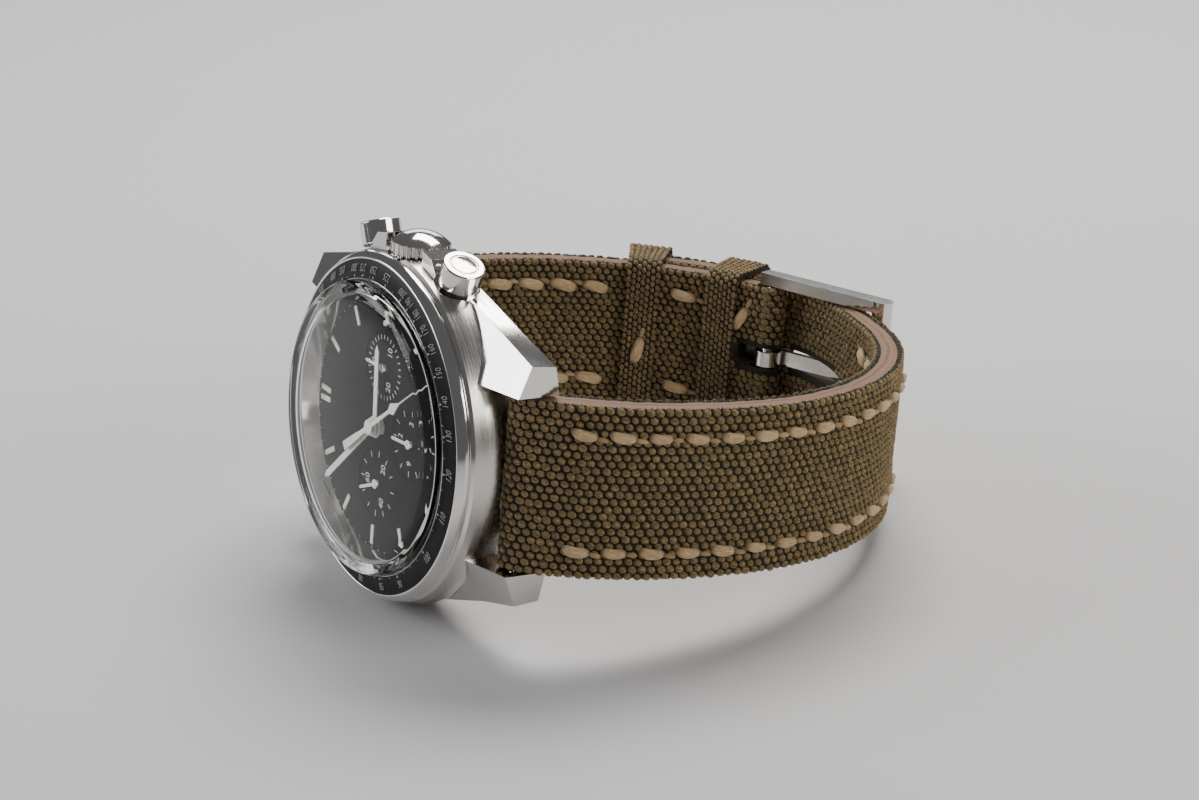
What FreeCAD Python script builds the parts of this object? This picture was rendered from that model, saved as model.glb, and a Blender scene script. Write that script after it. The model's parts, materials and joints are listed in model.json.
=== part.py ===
"""A chronograph wristwatch lying buckled on its side, as a parametric FreeCAD document.

Every piece is drawn in the watch's own frame, in millimetres: X runs from the dial to the case back
along the dial's axis, Y points to 12 o'clock and Z to 3 o'clock.  One resting placement then leans the
whole watch back until it stands on the case's 9 o'clock flank and on the buckle's lower edge.
"""
import FreeCAD, Part
import math
import os
import re

import Sketcher

Vector = FreeCAD.Vector
Placement = FreeCAD.Placement
Rotation = FreeCAD.Rotation

# Driving dimensions: name, millimetres, degrees or a count, and what it is.
SIZES = [
    ("case_flank", 20.9, "widest radius of the middle case"),
    ("case_front", -2.3, "front face of the middle case, under the bezel"),
    ("case_rear", 4.1, "rear face of the middle case"),
    ("movement_bore", 15.0, "radius of the room for the movement"),
    ("back_bore", 18.0, "radius of the case back's seat"),
    ("lug_inner", 10.3, "half the gap between a pair of lugs"),
    ("lug_tip", 24.4, "lug tip's distance from the middle of the case"),
    ("bar_forward", 3.3, "lug bar's place along the dial's axis"),
    ("bar_reach", 22.0, "lug bar's distance from the middle of the case"),
    ("bar_shaft", 0.9, "radius of a spring bar"),
    ("bezel_rim", 19.7, "radius of the bezel's front rim"),
    ("bezel_top", -3.8, "front edge of the bezel"),
    ("crystal_wall", 17.05, "outer radius of the crystal"),
    ("crystal_seat", -4.24, "height at which the crystal leaves the bezel"),
    ("crystal_shoulder", -5.9, "top of the crystal's upright wall"),
    ("crystal_crest", -7.3, "highest point of the crystal"),
    ("dial_face", -2.2, "front of the dial"),
    ("dial_edge", 15.9, "radius of the dial"),
    ("counter_reach", 7.0, "distance from the dial's middle to a small counter"),
    ("counter_edge", 4.2, "radius of a small counter's recess"),
    ("plate_edge", 13.5, "radius of the movement"),
    ("crown_plane", 1.2, "place of the crown and pushers along the dial's axis"),
    ("crown_rim", 3.45, "radius of the crown"),
    ("crown_face", 21.9, "crown's outer rim, from the dial's axis"),
    ("crown_flutes", 24, "number of flutes round the crown"),
    ("pusher_angle", 24.5, "angle from the crown to a pusher"),
    ("pusher_cap", 2.45, "radius of a pusher's cap"),
    ("pusher_face", 23.7, "pusher's outer face, from the dial's axis"),
    ("loop_middle", 29.0, "middle of the buckled strap loop, from the dial's axis"),
    ("strap_end_half", 9.9, "half the strap's width at the lugs"),
    ("strap_tip_half", 9.15, "half the strap's width at the buckle"),
    ("strap_end_thick", 4.2, "strap's thickness at the lugs"),
    ("strap_tip_thick", 3.4, "strap's thickness at the buckle"),
    ("canvas", 0.8, "thickness of the woven canvas and of the lining"),
    ("buckle_inner", 9.5, "half the gap between the buckle's arms"),
    ("buckle_outer", 11.0, "half the buckle's width"),
    ("buckle_bar_angle", 18.0, "buckle bar's place round the loop"),
    ("buckle_end_angle", -8.5, "end bar's place round the loop"),
    ("buckle_end_reach", 35.6, "end bar's distance from the loop's middle"),
    ("lean_angle", 8.9, "how far the watch leans back at rest"),
]

doc = FreeCAD.newDocument("wristwatch")
sheet = doc.addObject("Spreadsheet::Sheet", "Sizes")
for row, (alias, number, meaning) in enumerate(SIZES, start=1):
    sheet.set(f"A{row}", alias)
    sheet.set(f"B{row}", str(number))
    sheet.set(f"C{row}", meaning)
    sheet.setAlias(f"B{row}", alias)
doc.recompute()
size = {alias: float(sheet.get(alias)) for alias, number, meaning in SIZES}
ALIAS = re.compile(r"\b(" + "|".join(size) + r")\b")

parts = []          # every sub-part, with its place in the watch's own frame


def bound(text):
    """A formula of size names, as an expression that reads the sheet."""
    return ALIAS.sub(r"Sizes.\1", str(text))


def value(text):
    """The number that such a formula has now."""
    return float(sheet.evalExpression(bound(text)))


def keep(part, place=None):
    """Note a finished sub-part and its place in the watch's own frame."""
    parts.append((part, place or Placement()))
    return part


# ---- sketches and features -------------------------------------------------------------------------

def new_body(name):
    body = doc.addObject("PartDesign::Body", name)
    body.Label = name
    return body


def new_sketch(body, name, plane="XY_Plane", lift=0.0):
    sketch = body.newObject("Sketcher::SketchObject", name)
    face = [item for item in body.Origin.OriginFeatures if item.Role == plane][0]
    sketch.AttachmentSupport = (face, [""])
    sketch.MapMode = "FlatFace"
    sketch.AttachmentOffset = Placement(Vector(0, 0, lift), Rotation())
    return sketch


def pin_to(sketch, edge, end, mark, across, up):
    """Tie one end of an edge to two formulas, measured from the sketch's origin."""
    for kind, text, axis in (("DistanceX", across, -2), ("DistanceY", up, -1)):
        number = value(text)
        if abs(number) < 1e-9:
            sketch.addConstraint(Sketcher.Constraint("PointOnObject", edge, end, axis))
            continue
        index = sketch.addConstraint(Sketcher.Constraint(kind, -1, 1, edge, end, number))
        sketch.renameConstraint(index, f"{kind}_{mark}")
        if not str(text).replace(".", "").replace("-", "").isdigit():
            sketch.setExpression(f"Constraints.{kind}_{mark}", bound(text))


def draw_outline(sketch, outline, domes=()):
    """A closed outline through formula points.

    domes holds the numbers of the edges that are arcs centred on the sketch's first axis.
    """
    points = [Vector(value(across), value(up), 0) for across, up in outline]
    count = len(points)
    first_ends = []
    for number, start in enumerate(points):
        stop = points[(number + 1) % count]
        if number in domes:
            # the centre is on the axis and as far from one end as from the other
            middle = (stop.x ** 2 + stop.y ** 2 - start.x ** 2 - start.y ** 2) / (2 * (stop.x - start.x))
            centre = Vector(middle, 0, 0)
            radius = (start - centre).Length
            angles = sorted(math.atan2(p.y, p.x - middle) for p in (start, stop))
            circle = Part.Circle(centre, Vector(0, 0, 1), radius)
            edge = sketch.addGeometry(Part.ArcOfCircle(circle, *angles))
            starts_first = (sketch.Geometry[edge].StartPoint - start).Length < 1e-6
            first_ends.append(1 if starts_first else 2)
            sketch.addConstraint(Sketcher.Constraint("PointOnObject", edge, 3, -1))
        else:
            edge = sketch.addGeometry(Part.LineSegment(start, stop))
            first_ends.append(1)
    for number in range(count):
        following = (number + 1) % count
        sketch.addConstraint(
            Sketcher.Constraint("Coincident", number, 3 - first_ends[number],
                                following, first_ends[following]))
        pin_to(sketch, number, first_ends[number], number, *outline[number])


def draw_circle(sketch, mark, across, up, radius):
    centre = Vector(value(across), value(up), 0)
    edge = sketch.addGeometry(Part.Circle(centre, Vector(0, 0, 1), value(radius)))
    pin_to(sketch, edge, 3, mark, across, up)
    index = sketch.addConstraint(Sketcher.Constraint("Radius", edge, value(radius)))
    sketch.renameConstraint(index, f"radius_{mark}")
    sketch.setExpression(f"Constraints.radius_{mark}", bound(radius))


def turn_profile(body, outline, domes=()):
    """Revolve an outline of (place along the axis, radius) points about the body's X axis."""
    sketch = new_sketch(body, body.Name + "_profile")
    draw_outline(sketch, outline, domes)
    feature = body.newObject("PartDesign::Revolution", body.Name + "_turned")
    feature.Profile = sketch
    feature.ReferenceAxis = (sketch, ["H_Axis"])
    feature.Angle = 360
    doc.recompute()
    return feature


def turned(name, outline, place=None, domes=()):
    """A sub-part turned on a lathe."""
    body = new_body(name)
    turn_profile(body, outline, domes)
    return keep(body, place)


def drill(body, name, holes, start, depth):
    """Round holes along X, each (y, z, radius), from one face to a depth behind it."""
    sketch = new_sketch(body, name, "YZ_Plane", start)
    for number, (across, up, radius) in enumerate(holes):
        draw_circle(sketch, number, across, up, radius)
    pocket = body.newObject("PartDesign::Pocket", name + "_cut")
    pocket.Profile = sketch
    pocket.Length = depth
    pocket.Reversed = True
    before = body.Shape.Volume
    doc.recompute()
    if body.Shape.Volume >= before:
        raise RuntimeError(name + " cut nothing")
    return pocket


def plate(name, outline, start, thick, holes=(), place=None):
    """A flat piece: an outline of (y, z) points, padded along X, with round holes through it."""
    body = new_body(name)
    sketch = new_sketch(body, name + "_outline", "YZ_Plane", start)
    draw_outline(sketch, outline)
    for number, (across, up, radius) in enumerate(holes):
        draw_circle(sketch, f"hole{number}", across, up, radius)
    pad = body.newObject("PartDesign::Pad", name + "_pad")
    pad.Profile = sketch
    pad.Length = thick
    doc.recompute()
    return keep(body, place)


def ring_pattern(body, feature, count, name):
    """Repeat a feature evenly round the body's X axis."""
    pattern = body.newObject("PartDesign::PolarPattern", name)
    pattern.Originals = [feature]
    axis = [item for item in body.Origin.OriginFeatures if item.Role == "X_Axis"][0]
    pattern.Axis = (axis, [""])
    pattern.Angle = 360
    pattern.Occurrences = int(value(count))
    if not str(count).isdigit():
        pattern.setExpression("Occurrences", bound(count))
    body.Tip = pattern
    doc.recompute()
    return pattern


def group_of_rods(name, rods):
    """Alike round rods in one node, each given by its foot, direction, radius and length."""
    rods = [Part.makeCylinder(radius, length, foot, direction) for foot, direction, radius, length in rods]
    feature = doc.addObject("Part::Feature", name)
    feature.Label = name
    feature.Shape = Part.makeCompound(rods)
    return keep(feature)


def radial(angle, along="crown_plane"):
    """Turn a piece drawn along +X to point outwards, at an angle from 3 o'clock towards 12."""
    lean = Rotation(Vector(1, 0, 0), -angle).multiply(Rotation(Vector(0, 1, 0), -90))
    return Placement(Vector(value(along), 0, 0), lean)


def clock(angle, across=0.0, up=0.0):
    """Turn a hand drawn towards 12 o'clock clockwise, about a centre on the dial."""
    return Placement(Vector(0, across, up), Rotation(Vector(1, 0, 0), angle))


# ---- case ------------------------------------------------------------------------------------------

def make_mid_case():
    body = new_body("mid_case")
    turn_profile(body, [
        ("case_front", "crystal_wall - 0.4"),
        ("case_front", "case_flank - 1.0"),
        ("case_front + 0.4", "case_flank - 0.5"),
        ("case_front + 2.9", "case_flank"),
        ("case_rear - 0.7", "case_flank - 0.4"),
        ("case_rear", "case_flank - 1.1"),
        ("case_rear", "back_bore"),
        ("case_rear - 2.4", "back_bore"),
        ("case_rear - 2.4", "movement_bore"),
        ("case_front + 1.1", "movement_bore"),
        ("case_front + 1.1", "crystal_wall - 0.4"),
    ])
    lug = add_lug(body)
    mirror = body.newObject("PartDesign::MultiTransform", "lug_copies")
    mirror.Originals = [lug]
    steps = []
    for role in ("XZ_Plane", "XY_Plane"):
        step = body.newObject("PartDesign::Mirrored", "lug_mirror_" + role[:2])
        step.MirrorPlane = ([item for item in body.Origin.OriginFeatures if item.Role == role][0], [""])
        steps.append(step)
    mirror.Transformations = steps
    body.Tip = mirror
    doc.recompute()
    add_crown_guard(body)
    cut_cross_holes(body)
    return keep(body)


def add_lug(body):
    """One lug, lofted from the case flank to its tip: a sloped front face and an upright outer flank."""
    stations = [
        ("root", "-bar_reach + 14.5", ("-1.6", "lug_inner"), ("1.5", "19.0"), ("3.5", "19.2"),
         ("4.1", "lug_inner")),
        ("waist", "-bar_reach + 4.0", ("-0.9", "lug_inner"), ("2.0", "15.6"), ("4.4", "15.7"),
         ("5.2", "lug_inner")),
        ("tip", "-lug_tip", ("0.5", "lug_inner"), ("1.9", "13.9"), ("5.0", "13.6"),
         ("5.7", "lug_inner")),
    ]
    sketches = []
    for mark, station, *corners in stations:
        # the XZ plane's sketches look along -Y, so their lift is minus the place along Y
        sketch = new_sketch(body, "lug_" + mark, "XZ_Plane", -value(station))
        sketch.setExpression("AttachmentOffset.Base.z", bound(f"-({station})"))
        draw_outline(sketch, corners)
        sketches.append(sketch)
    loft = body.newObject("PartDesign::AdditiveLoft", "lug")
    loft.Profile = sketches[0]
    loft.Sections = sketches[1:]
    loft.Ruled = True
    doc.recompute()
    return loft


def add_crown_guard(body):
    """The two shoulders beside the crown, with a seat for each pusher beyond them."""
    sketch = new_sketch(body, "guard_outline", "YZ_Plane", -1.0)
    draw_outline(sketch, [
        ("-8.6", "case_flank - 2.6"), ("-6.3", "case_flank + 0.4"), ("-4.2", "case_flank + 0.9"),
        ("-4.2", "case_flank - 1.6"), ("4.2", "case_flank - 1.6"), ("4.2", "case_flank + 0.9"),
        ("6.3", "case_flank + 0.4"), ("8.6", "case_flank - 2.6"), ("6.0", "case_flank - 4.0"),
        ("-6.0", "case_flank - 4.0"),
    ])
    pad = body.newObject("PartDesign::Pad", "crown_guard")
    pad.Profile = sketch
    pad.Length = 4.2
    doc.recompute()


def cut_cross_holes(body):
    """Clear the bores behind the lugs, and cut the holes and seats that cross the case.

    Those are the crown's and pushers' holes and seats, the lug bars' blind holes, and a hollow for
    each strap's rolled end.
    """
    cutters = []
    for angle, hole, seat_radius, seat_reach in (
            (0.0, 1.52, "crown_rim + 0.25", "case_flank - 2.3"),
            (size["pusher_angle"], 1.62, "pusher_cap + 0.2", "case_flank - 1.5"),
            (-size["pusher_angle"], 1.62, "pusher_cap + 0.2", "case_flank - 1.5")):
        place = radial(angle)
        outward = place.Rotation.multVec(Vector(1, 0, 0))
        foot = place.Base
        cutters.append(Part.makeCylinder(hole, 12.0, foot + outward * 13.0, outward))
        reach = value(seat_reach)
        cutters.append(Part.makeCylinder(value(seat_radius), 6.0, foot + outward * reach, outward))
    along = Vector(1, 0, 0)
    for start, radius in (("case_front - 1.0", "movement_bore"), ("case_rear - 2.4", "back_bore"),
                          ("case_rear + 0.02", "back_bore + 1.0")):
        cutters.append(Part.makeCylinder(value(radius), 12.0, Vector(value(start), 0, 0), along))
    room = size["strap_end_thick"] / 2 + 0.2
    for side in (-1, 1):
        foot = Vector(size["bar_forward"], side * size["bar_reach"], 0)
        for radius, half in ((0.45, 12.0), (room, size["lug_inner"])):
            cutters.append(Part.makeCylinder(radius, 2 * half, foot - Vector(0, 0, half), Vector(0, 0, 1)))
    cross = doc.addObject("Part::Feature", "cross_holes")
    cross.Shape = Part.makeCompound(cutters)
    boolean = body.newObject("PartDesign::Boolean", "cross_cut")
    boolean.Type = "Cut"
    boolean.Group = [cross]
    doc.recompute()


def make_bezel():
    turned("bezel", [
        ("case_front - 0.03", "crystal_wall + 0.03"),
        ("case_front - 0.03", "case_flank - 0.9"),
        ("case_front - 0.35", "case_flank - 0.65"),
        ("case_front - 0.75", "case_flank - 0.75"),
        ("bezel_top + 0.1", "bezel_rim"),
        ("bezel_top", "bezel_rim - 0.12"),
        ("bezel_top", "bezel_rim - 0.35"),
        ("bezel_top + 0.35", "bezel_rim - 0.38"),
        ("crystal_seat + 0.37", "crystal_wall + 0.17"),
        ("crystal_seat", "crystal_wall + 0.15"),
        ("crystal_seat", "crystal_wall + 0.03"),
    ])
    turned("bezel_insert", [
        ("bezel_top + 0.33", "bezel_rim - 0.4"),
        ("bezel_top + 0.02", "bezel_rim - 0.38"),
        ("crystal_seat + 0.04", "crystal_wall + 0.19"),
        ("crystal_seat + 0.34", "crystal_wall + 0.2"),
    ])


def make_crystal():
    turned("crystal", [
        ("case_front - 0.03", "crystal_wall - 1.5"),
        ("case_front - 0.03", "crystal_wall"),
        ("crystal_shoulder + 0.5", "crystal_wall"),
        ("crystal_shoulder", "crystal_wall - 0.35"),
        ("crystal_shoulder - 0.35", "crystal_wall - 1.1"),
        ("crystal_crest", "0"),
        ("crystal_crest + 1.3", "0"),
        ("crystal_shoulder + 0.95", "crystal_wall - 2.1"),
        ("crystal_shoulder + 1.3", "crystal_wall - 1.5"),
    ], domes=(4, 6))
    turned("crystal_tension_ring", [
        ("case_front - 0.03", "crystal_wall - 2.3"),
        ("case_front - 0.03", "crystal_wall - 1.52"),
        ("crystal_shoulder + 1.6", "crystal_wall - 1.52"),
        ("crystal_shoulder + 1.6", "crystal_wall - 1.7"),
    ])


def make_case_back():
    turned("case_back", [
        ("case_rear - 1.9", "back_bore - 1.2"),
        ("case_rear - 1.9", "back_bore - 0.05"),
        ("case_rear + 0.05", "back_bore - 0.05"),
        ("case_rear + 0.05", "back_bore + 0.9"),
        ("case_rear + 0.7", "back_bore + 0.6"),
        ("case_rear + 1.9", "back_bore - 2.0"),
        ("case_rear + 1.9", "0"),
        ("case_rear + 0.9", "0"),
        ("case_rear + 0.9", "back_bore - 2.6"),
        ("case_rear - 0.6", "back_bore - 1.2"),
    ])
    body = parts[-1][0]
    sketch = new_sketch(body, "wrench_slot", "YZ_Plane", value("case_rear + 1.9"))
    draw_outline(sketch, [("-1.2", "back_bore - 3.2"), ("1.2", "back_bore - 3.2"),
                          ("1.2", "back_bore - 1.7"), ("-1.2", "back_bore - 1.7")])
    slot = body.newObject("PartDesign::Pocket", "wrench_slot_cut")
    slot.Profile = sketch
    slot.Length = 0.5
    doc.recompute()
    ring_pattern(body, slot, "6", "wrench_slots")
    turned("case_back_gasket", [
        ("case_rear - 2.38", "back_bore - 1.1"),
        ("case_rear - 2.38", "back_bore - 0.2"),
        ("case_rear - 1.92", "back_bore - 0.2"),
        ("case_rear - 1.92", "back_bore - 1.1"),
    ])


# ---- crown and pushers -----------------------------------------------------------------------------

def make_crown():
    place = radial(0.0)
    body = new_body("crown")
    turn_profile(body, [
        ("crown_face - 3.0", "1.75"),
        ("crown_face - 3.0", "crown_rim - 0.35"),
        ("crown_face - 2.7", "crown_rim"),
        ("crown_face - 0.25", "crown_rim"),
        ("crown_face", "crown_rim - 0.3"),
        ("crown_face + 1.15", "0"),
        ("crown_face - 0.5", "0"),
        ("crown_face - 0.5", "1.75"),
    ], domes=(4,))
    sketch = new_sketch(body, "flute_outline", "YZ_Plane", value("crown_face - 3.2"))
    draw_circle(sketch, 0, "0", "crown_rim + 0.12", "0.33")
    flute = body.newObject("PartDesign::Pocket", "flute")
    flute.Profile = sketch
    flute.Length = 3.0
    flute.Reversed = True
    doc.recompute()
    ring_pattern(body, flute, "crown_flutes", "flutes")
    keep(body, place)
    turned("crown_tube", [
        ("back_bore + 0.1", "0.62"), ("back_bore + 0.1", "1.5"), ("crown_face - 0.8", "1.5"),
        ("crown_face - 0.8", "0.62"),
    ], place)
    turned("crown_gasket", [
        ("crown_face - 1.6", "1.53"), ("crown_face - 1.6", "1.73"), ("crown_face - 1.1", "1.73"),
        ("crown_face - 1.1", "1.53"),
    ], place)
    turned("winding_stem", [
        ("8.0", "0"), ("8.0", "0.3"), ("12.0", "0.3"), ("12.0", "0.48"), ("crown_face - 0.52", "0.48"),
        ("crown_face - 0.52", "0"),
    ], place)


def make_pushers():
    for side, angle in (("upper", size["pusher_angle"]), ("lower", -size["pusher_angle"])):
        place = radial(angle)
        turned(f"pusher_cap_{side}", [
            ("pusher_face - 3.9", "0"),
            ("pusher_face - 3.9", "0.48"),
            ("pusher_face - 0.9", "0.48"),
            ("pusher_face - 0.9", "1.85"),
            ("pusher_face - 2.7", "1.85"),
            ("pusher_face - 2.7", "pusher_cap - 0.1"),
            ("pusher_face - 2.6", "pusher_cap"),
            ("pusher_face - 0.15", "pusher_cap"),
            ("pusher_face", "pusher_cap - 0.15"),
            ("pusher_face", "pusher_cap - 0.75"),
            ("pusher_face - 0.12", "pusher_cap - 0.8"),
            ("pusher_face - 0.12", "pusher_cap - 0.95"),
            ("pusher_face - 0.02", "pusher_cap - 1.0"),
            ("pusher_face + 0.12", "0"),
        ], place)
        turned(f"pusher_tube_{side}", [
            ("back_bore + 0.1", "0.53"), ("back_bore + 0.1", "1.6"), ("pusher_face - 1.9", "1.6"),
            ("pusher_face - 1.9", "1.3"), ("pusher_face - 4.6", "1.3"), ("pusher_face - 4.6", "0.53"),
        ], place)
        make_spring(f"pusher_spring_{side}", place)


def make_spring(name, place):
    """A return spring round the pusher's stem, of three open turns."""
    low = value("pusher_face - 4.45")
    high = value("pusher_face - 1.1")
    helix = Part.makeHelix((high - low) / 3.0, high - low, 0.9)
    wire_radius = 0.13
    section = Part.Wire(Part.makeCircle(wire_radius, Vector(0.9, 0, 0), Vector(0, 1, 0)))
    coil = Part.Wire(helix).makePipeShell([section], True, True)
    spring = doc.addObject("Part::Feature", name)
    spring.Label = name
    upright = Placement(Vector(low, 0, 0), Rotation(Vector(0, 1, 0), 90))
    spring.Shape = coil.transformGeometry(upright.toMatrix())
    keep(spring, place)


# ---- dial and hands --------------------------------------------------------------------------------

def counter_places():
    """Middles (y, z) of the counters at 9, 3 and 6 o'clock."""
    reach = size["counter_reach"]
    return {"running": (0.0, -reach), "minute": (0.0, reach), "hour": (-reach, 0.0)}


def make_dial():
    body = turned("dial", [
        ("dial_face", "0"), ("dial_face", "dial_edge"), ("dial_face + 0.45", "dial_edge"),
        ("dial_face + 0.45", "0"),
    ])
    middles = [("0", "-counter_reach"), ("0", "counter_reach"), ("-counter_reach", "0")]
    drill(body, "counter_recess", [(across, up, "counter_edge") for across, up in middles],
          size["dial_face"], 0.15)
    holes = [(across, up, "0.45") for across, up in middles]
    drill(body, "dial_holes", [("0", "0", "1.1")] + holes, size["dial_face"], 0.6)


def baton(half, tail, start, stop, tip):
    """A hand's outline: a blade from start to stop with a short pointed tip, and a tail."""
    return [(-half, -tail), (half, -tail), (half, start), (half, stop), (0.0, stop + tip), (-half, stop)]


def make_hand(name, front, blade, hub, pipe, bore, pipe_foot, thick, place):
    """A hand: a flat blade, drawn from (y, z) towards 12, a round hub, and the pipe it sits on."""
    outline = Part.makePolygon([Vector(front, y, z) for z, y in blade + blade[:1]])
    flat = Part.Face(outline).extrude(Vector(thick, 0, 0))
    along = Vector(1, 0, 0)
    boss = Part.makeCylinder(hub, thick, Vector(front, 0, 0), along)
    tube = Part.makeCylinder(pipe, pipe_foot - front, Vector(front, 0, 0), along)
    solid = flat.fuse([boss, tube])
    if bore:
        depth = pipe_foot - front + 1.0
        solid = solid.cut(Part.makeCylinder(bore, depth, Vector(front - 0.5, 0, 0), along))
    hand = doc.addObject("Part::Feature", name)
    hand.Label = name
    hand.Shape = solid.removeSplitter()
    keep(hand, place)


def make_hands():
    foot = size["dial_face"] + 0.75
    face = size["dial_face"]
    make_hand("hour_hand", face - 0.75, baton(0.46, 0.0, 1.4, 8.9, 0.8), 1.3, 1.0, 0.75, foot, 0.15,
              clock(87.0))
    make_hand("minute_hand", face - 1.15, baton(0.42, 0.0, 1.4, 13.1, 0.9), 1.1, 0.7, 0.4, foot, 0.15,
              clock(-42.0))
    sweep = [(-0.55, -6.7), (0.55, -6.7), (0.42, -3.0), (0.34, -2.4), (0.24, 5.6), (0.72, 6.4), (0.1, 8.3),
             (0.07, 14.4), (-0.07, 14.4), (-0.1, 8.3), (-0.72, 6.4), (-0.24, 5.6), (-0.34, -2.4),
             (-0.42, -3.0)]
    make_hand("chronograph_hand", face - 1.6, sweep, 0.9, 0.34, 0.0, foot + 0.69, 0.15, clock(144.0))
    places = counter_places()
    for name, key, angle in (("running_seconds_hand", "running", 337.0),
                             ("minute_counter_hand", "minute", 0.0),
                             ("hour_counter_hand", "hour", 356.0)):
        make_hand(name, face - 0.3, baton(0.2, 0.9, 0.5, 3.6, 0.25), 0.55, 0.35, 0.0, foot + 0.4, 0.12,
                  clock(angle, *places[key]))


# ---- movement --------------------------------------------------------------------------------------

PLATE_FRONT = -1.7      # front of the main plate, along the dial's axis
WHEELS = {
    # name: middle (y, z), wheel radius, wheel's place along X, teeth, arbor radius and its two ends,
    # pinion radius and its two ends
    "mainspring_barrel": ((5.9, 2.07), 5.4, 0.35, 72, 0.5, (-0.6, 3.4), 0.8, (2.3, 2.9)),
    "center_wheel": ((0.0, 0.0), 4.0, 2.45, 60, 0.55, (0.15, 3.4), 0.8, (0.2, 1.2)),
    "third_wheel": ((-2.3, -4.04), 3.2, 1.35, 64, 0.25, (-0.6, 3.4), 0.6, (2.3, 2.9)),
    "fourth_wheel": ((0.0, -7.0), 2.8, 0.8, 70, 0.2, (-1.05, 3.4), 0.5, (1.3, 2.0)),
    "escape_wheel": ((-3.02, -8.2), 2.0, 2.3, 15, 0.15, (-0.6, 3.4), 0.4, (0.6, 1.2)),
}
BALANCE = (-8.0, -4.0)
PALLET = (-5.3, -7.0)


def make_wheel(name):
    """A toothed wheel: a turned blank with its pinion and arbor, whose tooth gaps are cut round it."""
    middle, radius, level, teeth, arbor, ends, pinion, pinion_ends = WHEELS[name]
    thick = 1.9 if name == "mainspring_barrel" else 0.25
    body = new_body(name)
    profile = [(ends[0], 0), (ends[0], arbor)]
    steps = sorted([(level, level + thick, radius), (pinion_ends[0], pinion_ends[1], pinion)])
    for low, high, reach in steps:
        if low > profile[-1][0] + 1e-6:
            profile.append((low, profile[-1][1]) if profile[-1][1] != arbor else (low, arbor))
        profile.append((low, reach))
        profile.append((high, reach))
        profile.append((high, arbor))
    profile.append((ends[1], arbor))
    profile.append((ends[1], 0))
    turn_profile(body, tidy_profile(profile))
    gap = new_sketch(body, name + "_gap", "YZ_Plane", level)
    half = math.pi * radius / teeth * 0.55
    deep = 0.8 if name == "escape_wheel" else 0.35
    draw_outline(gap, [(-half * 0.4, radius - deep), (half * 0.4, radius - deep),
                       (half, radius + 0.2), (-half, radius + 0.2)])
    cut = body.newObject("PartDesign::Pocket", name + "_gap_cut")
    cut.Profile = gap
    cut.Length = min(thick, 0.5)
    cut.Reversed = True
    doc.recompute()
    ring_pattern(body, cut, str(teeth), name + "_teeth")
    if name == "center_wheel":
        drill(body, "center_bore", [("0", "0", "0.42")], ends[0] - 0.1, 5.0)
    keep(body, Placement(Vector(0, *middle), Rotation()))


def tidy_profile(profile):
    """Drop repeated points from a stepped profile."""
    kept = []
    for point in profile:
        if not kept or point != kept[-1]:
            kept.append(point)
    return kept


def bridge_outline(low, high, cut):
    """Points round the movement between two angles, closed by the straight chord or corner at cut."""
    edge = size["plate_edge"] - 0.3
    count = 9
    angles = [math.radians(low + (high - low) * step / (count - 1)) for step in range(count)]
    return [(edge * math.cos(a), edge * math.sin(a)) for a in angles] + list(cut)


def pivot_holes(*names):
    return [(WHEELS[name][0][0], WHEELS[name][0][1], WHEELS[name][4] + 0.03) for name in names]


def make_movement():
    reach = "counter_reach"
    plate_body = turned("main_plate", [
        (PLATE_FRONT, "0"), (PLATE_FRONT, "plate_edge"), (-0.1, "plate_edge"), (-0.1, "0"),
    ])
    pivots = [WHEELS[name][0] + (WHEELS[name][4] + 0.03,) for name in
              ("mainspring_barrel", "third_wheel", "escape_wheel")]
    pivots += [(0, 0, 1.1), (0, "-counter_reach", 0.4), (0, reach, 0.4), ("-counter_reach", 0, 0.4)]
    pivots += [BALANCE + (0.2,), PALLET + (0.18,)]
    drill(plate_body, "plate_pivots", pivots, PLATE_FRONT, 2.0)
    for name in WHEELS:
        make_wheel(name)
    plate("barrel_bridge", bridge_outline(-4.0, 104.0, [(-3.2, 0.6), (-0.9, -0.95)]), 2.95, 0.45,
          pivot_holes("mainspring_barrel") + [(0.0, 0.0, 0.58)])
    plate("train_bridge", bridge_outline(-104.0, -6.0, [(-0.8, -1.2), (-3.5, -1.2), (-3.6, -9.5)]), 2.95, 0.45,
          pivot_holes("third_wheel", "fourth_wheel", "escape_wheel"))
    make_balance()
    plate("chronograph_bridge", [(-1.6, 4.6), (1.6, 4.6), (2.2, -1.2), (6.4, -6.2), (4.2, -7.8),
                                 (-0.6, -3.0), (-2.0, -1.0)], 3.65, 0.5, [(0.0, 0.0, 0.38)])
    chronograph = [(-0.75, 0.0), (-0.75, 0.34), (3.42, 0.34), (3.42, 1.6), (3.6, 1.6), (3.6, 0.34),
                   (4.1, 0.34), (4.1, 0.0)]
    turned("chronograph_wheel", chronograph)
    group_of_rods("bridge_screws", [
        (Vector(3.42, y, z), Vector(1, 0, 0), 0.6, 0.3) for y, z in
        ((11.5, -2.2), (-2.4, 11.4), (10.6, 6.4), (4.0, -11.2), (1.2, -11.6))])


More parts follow.
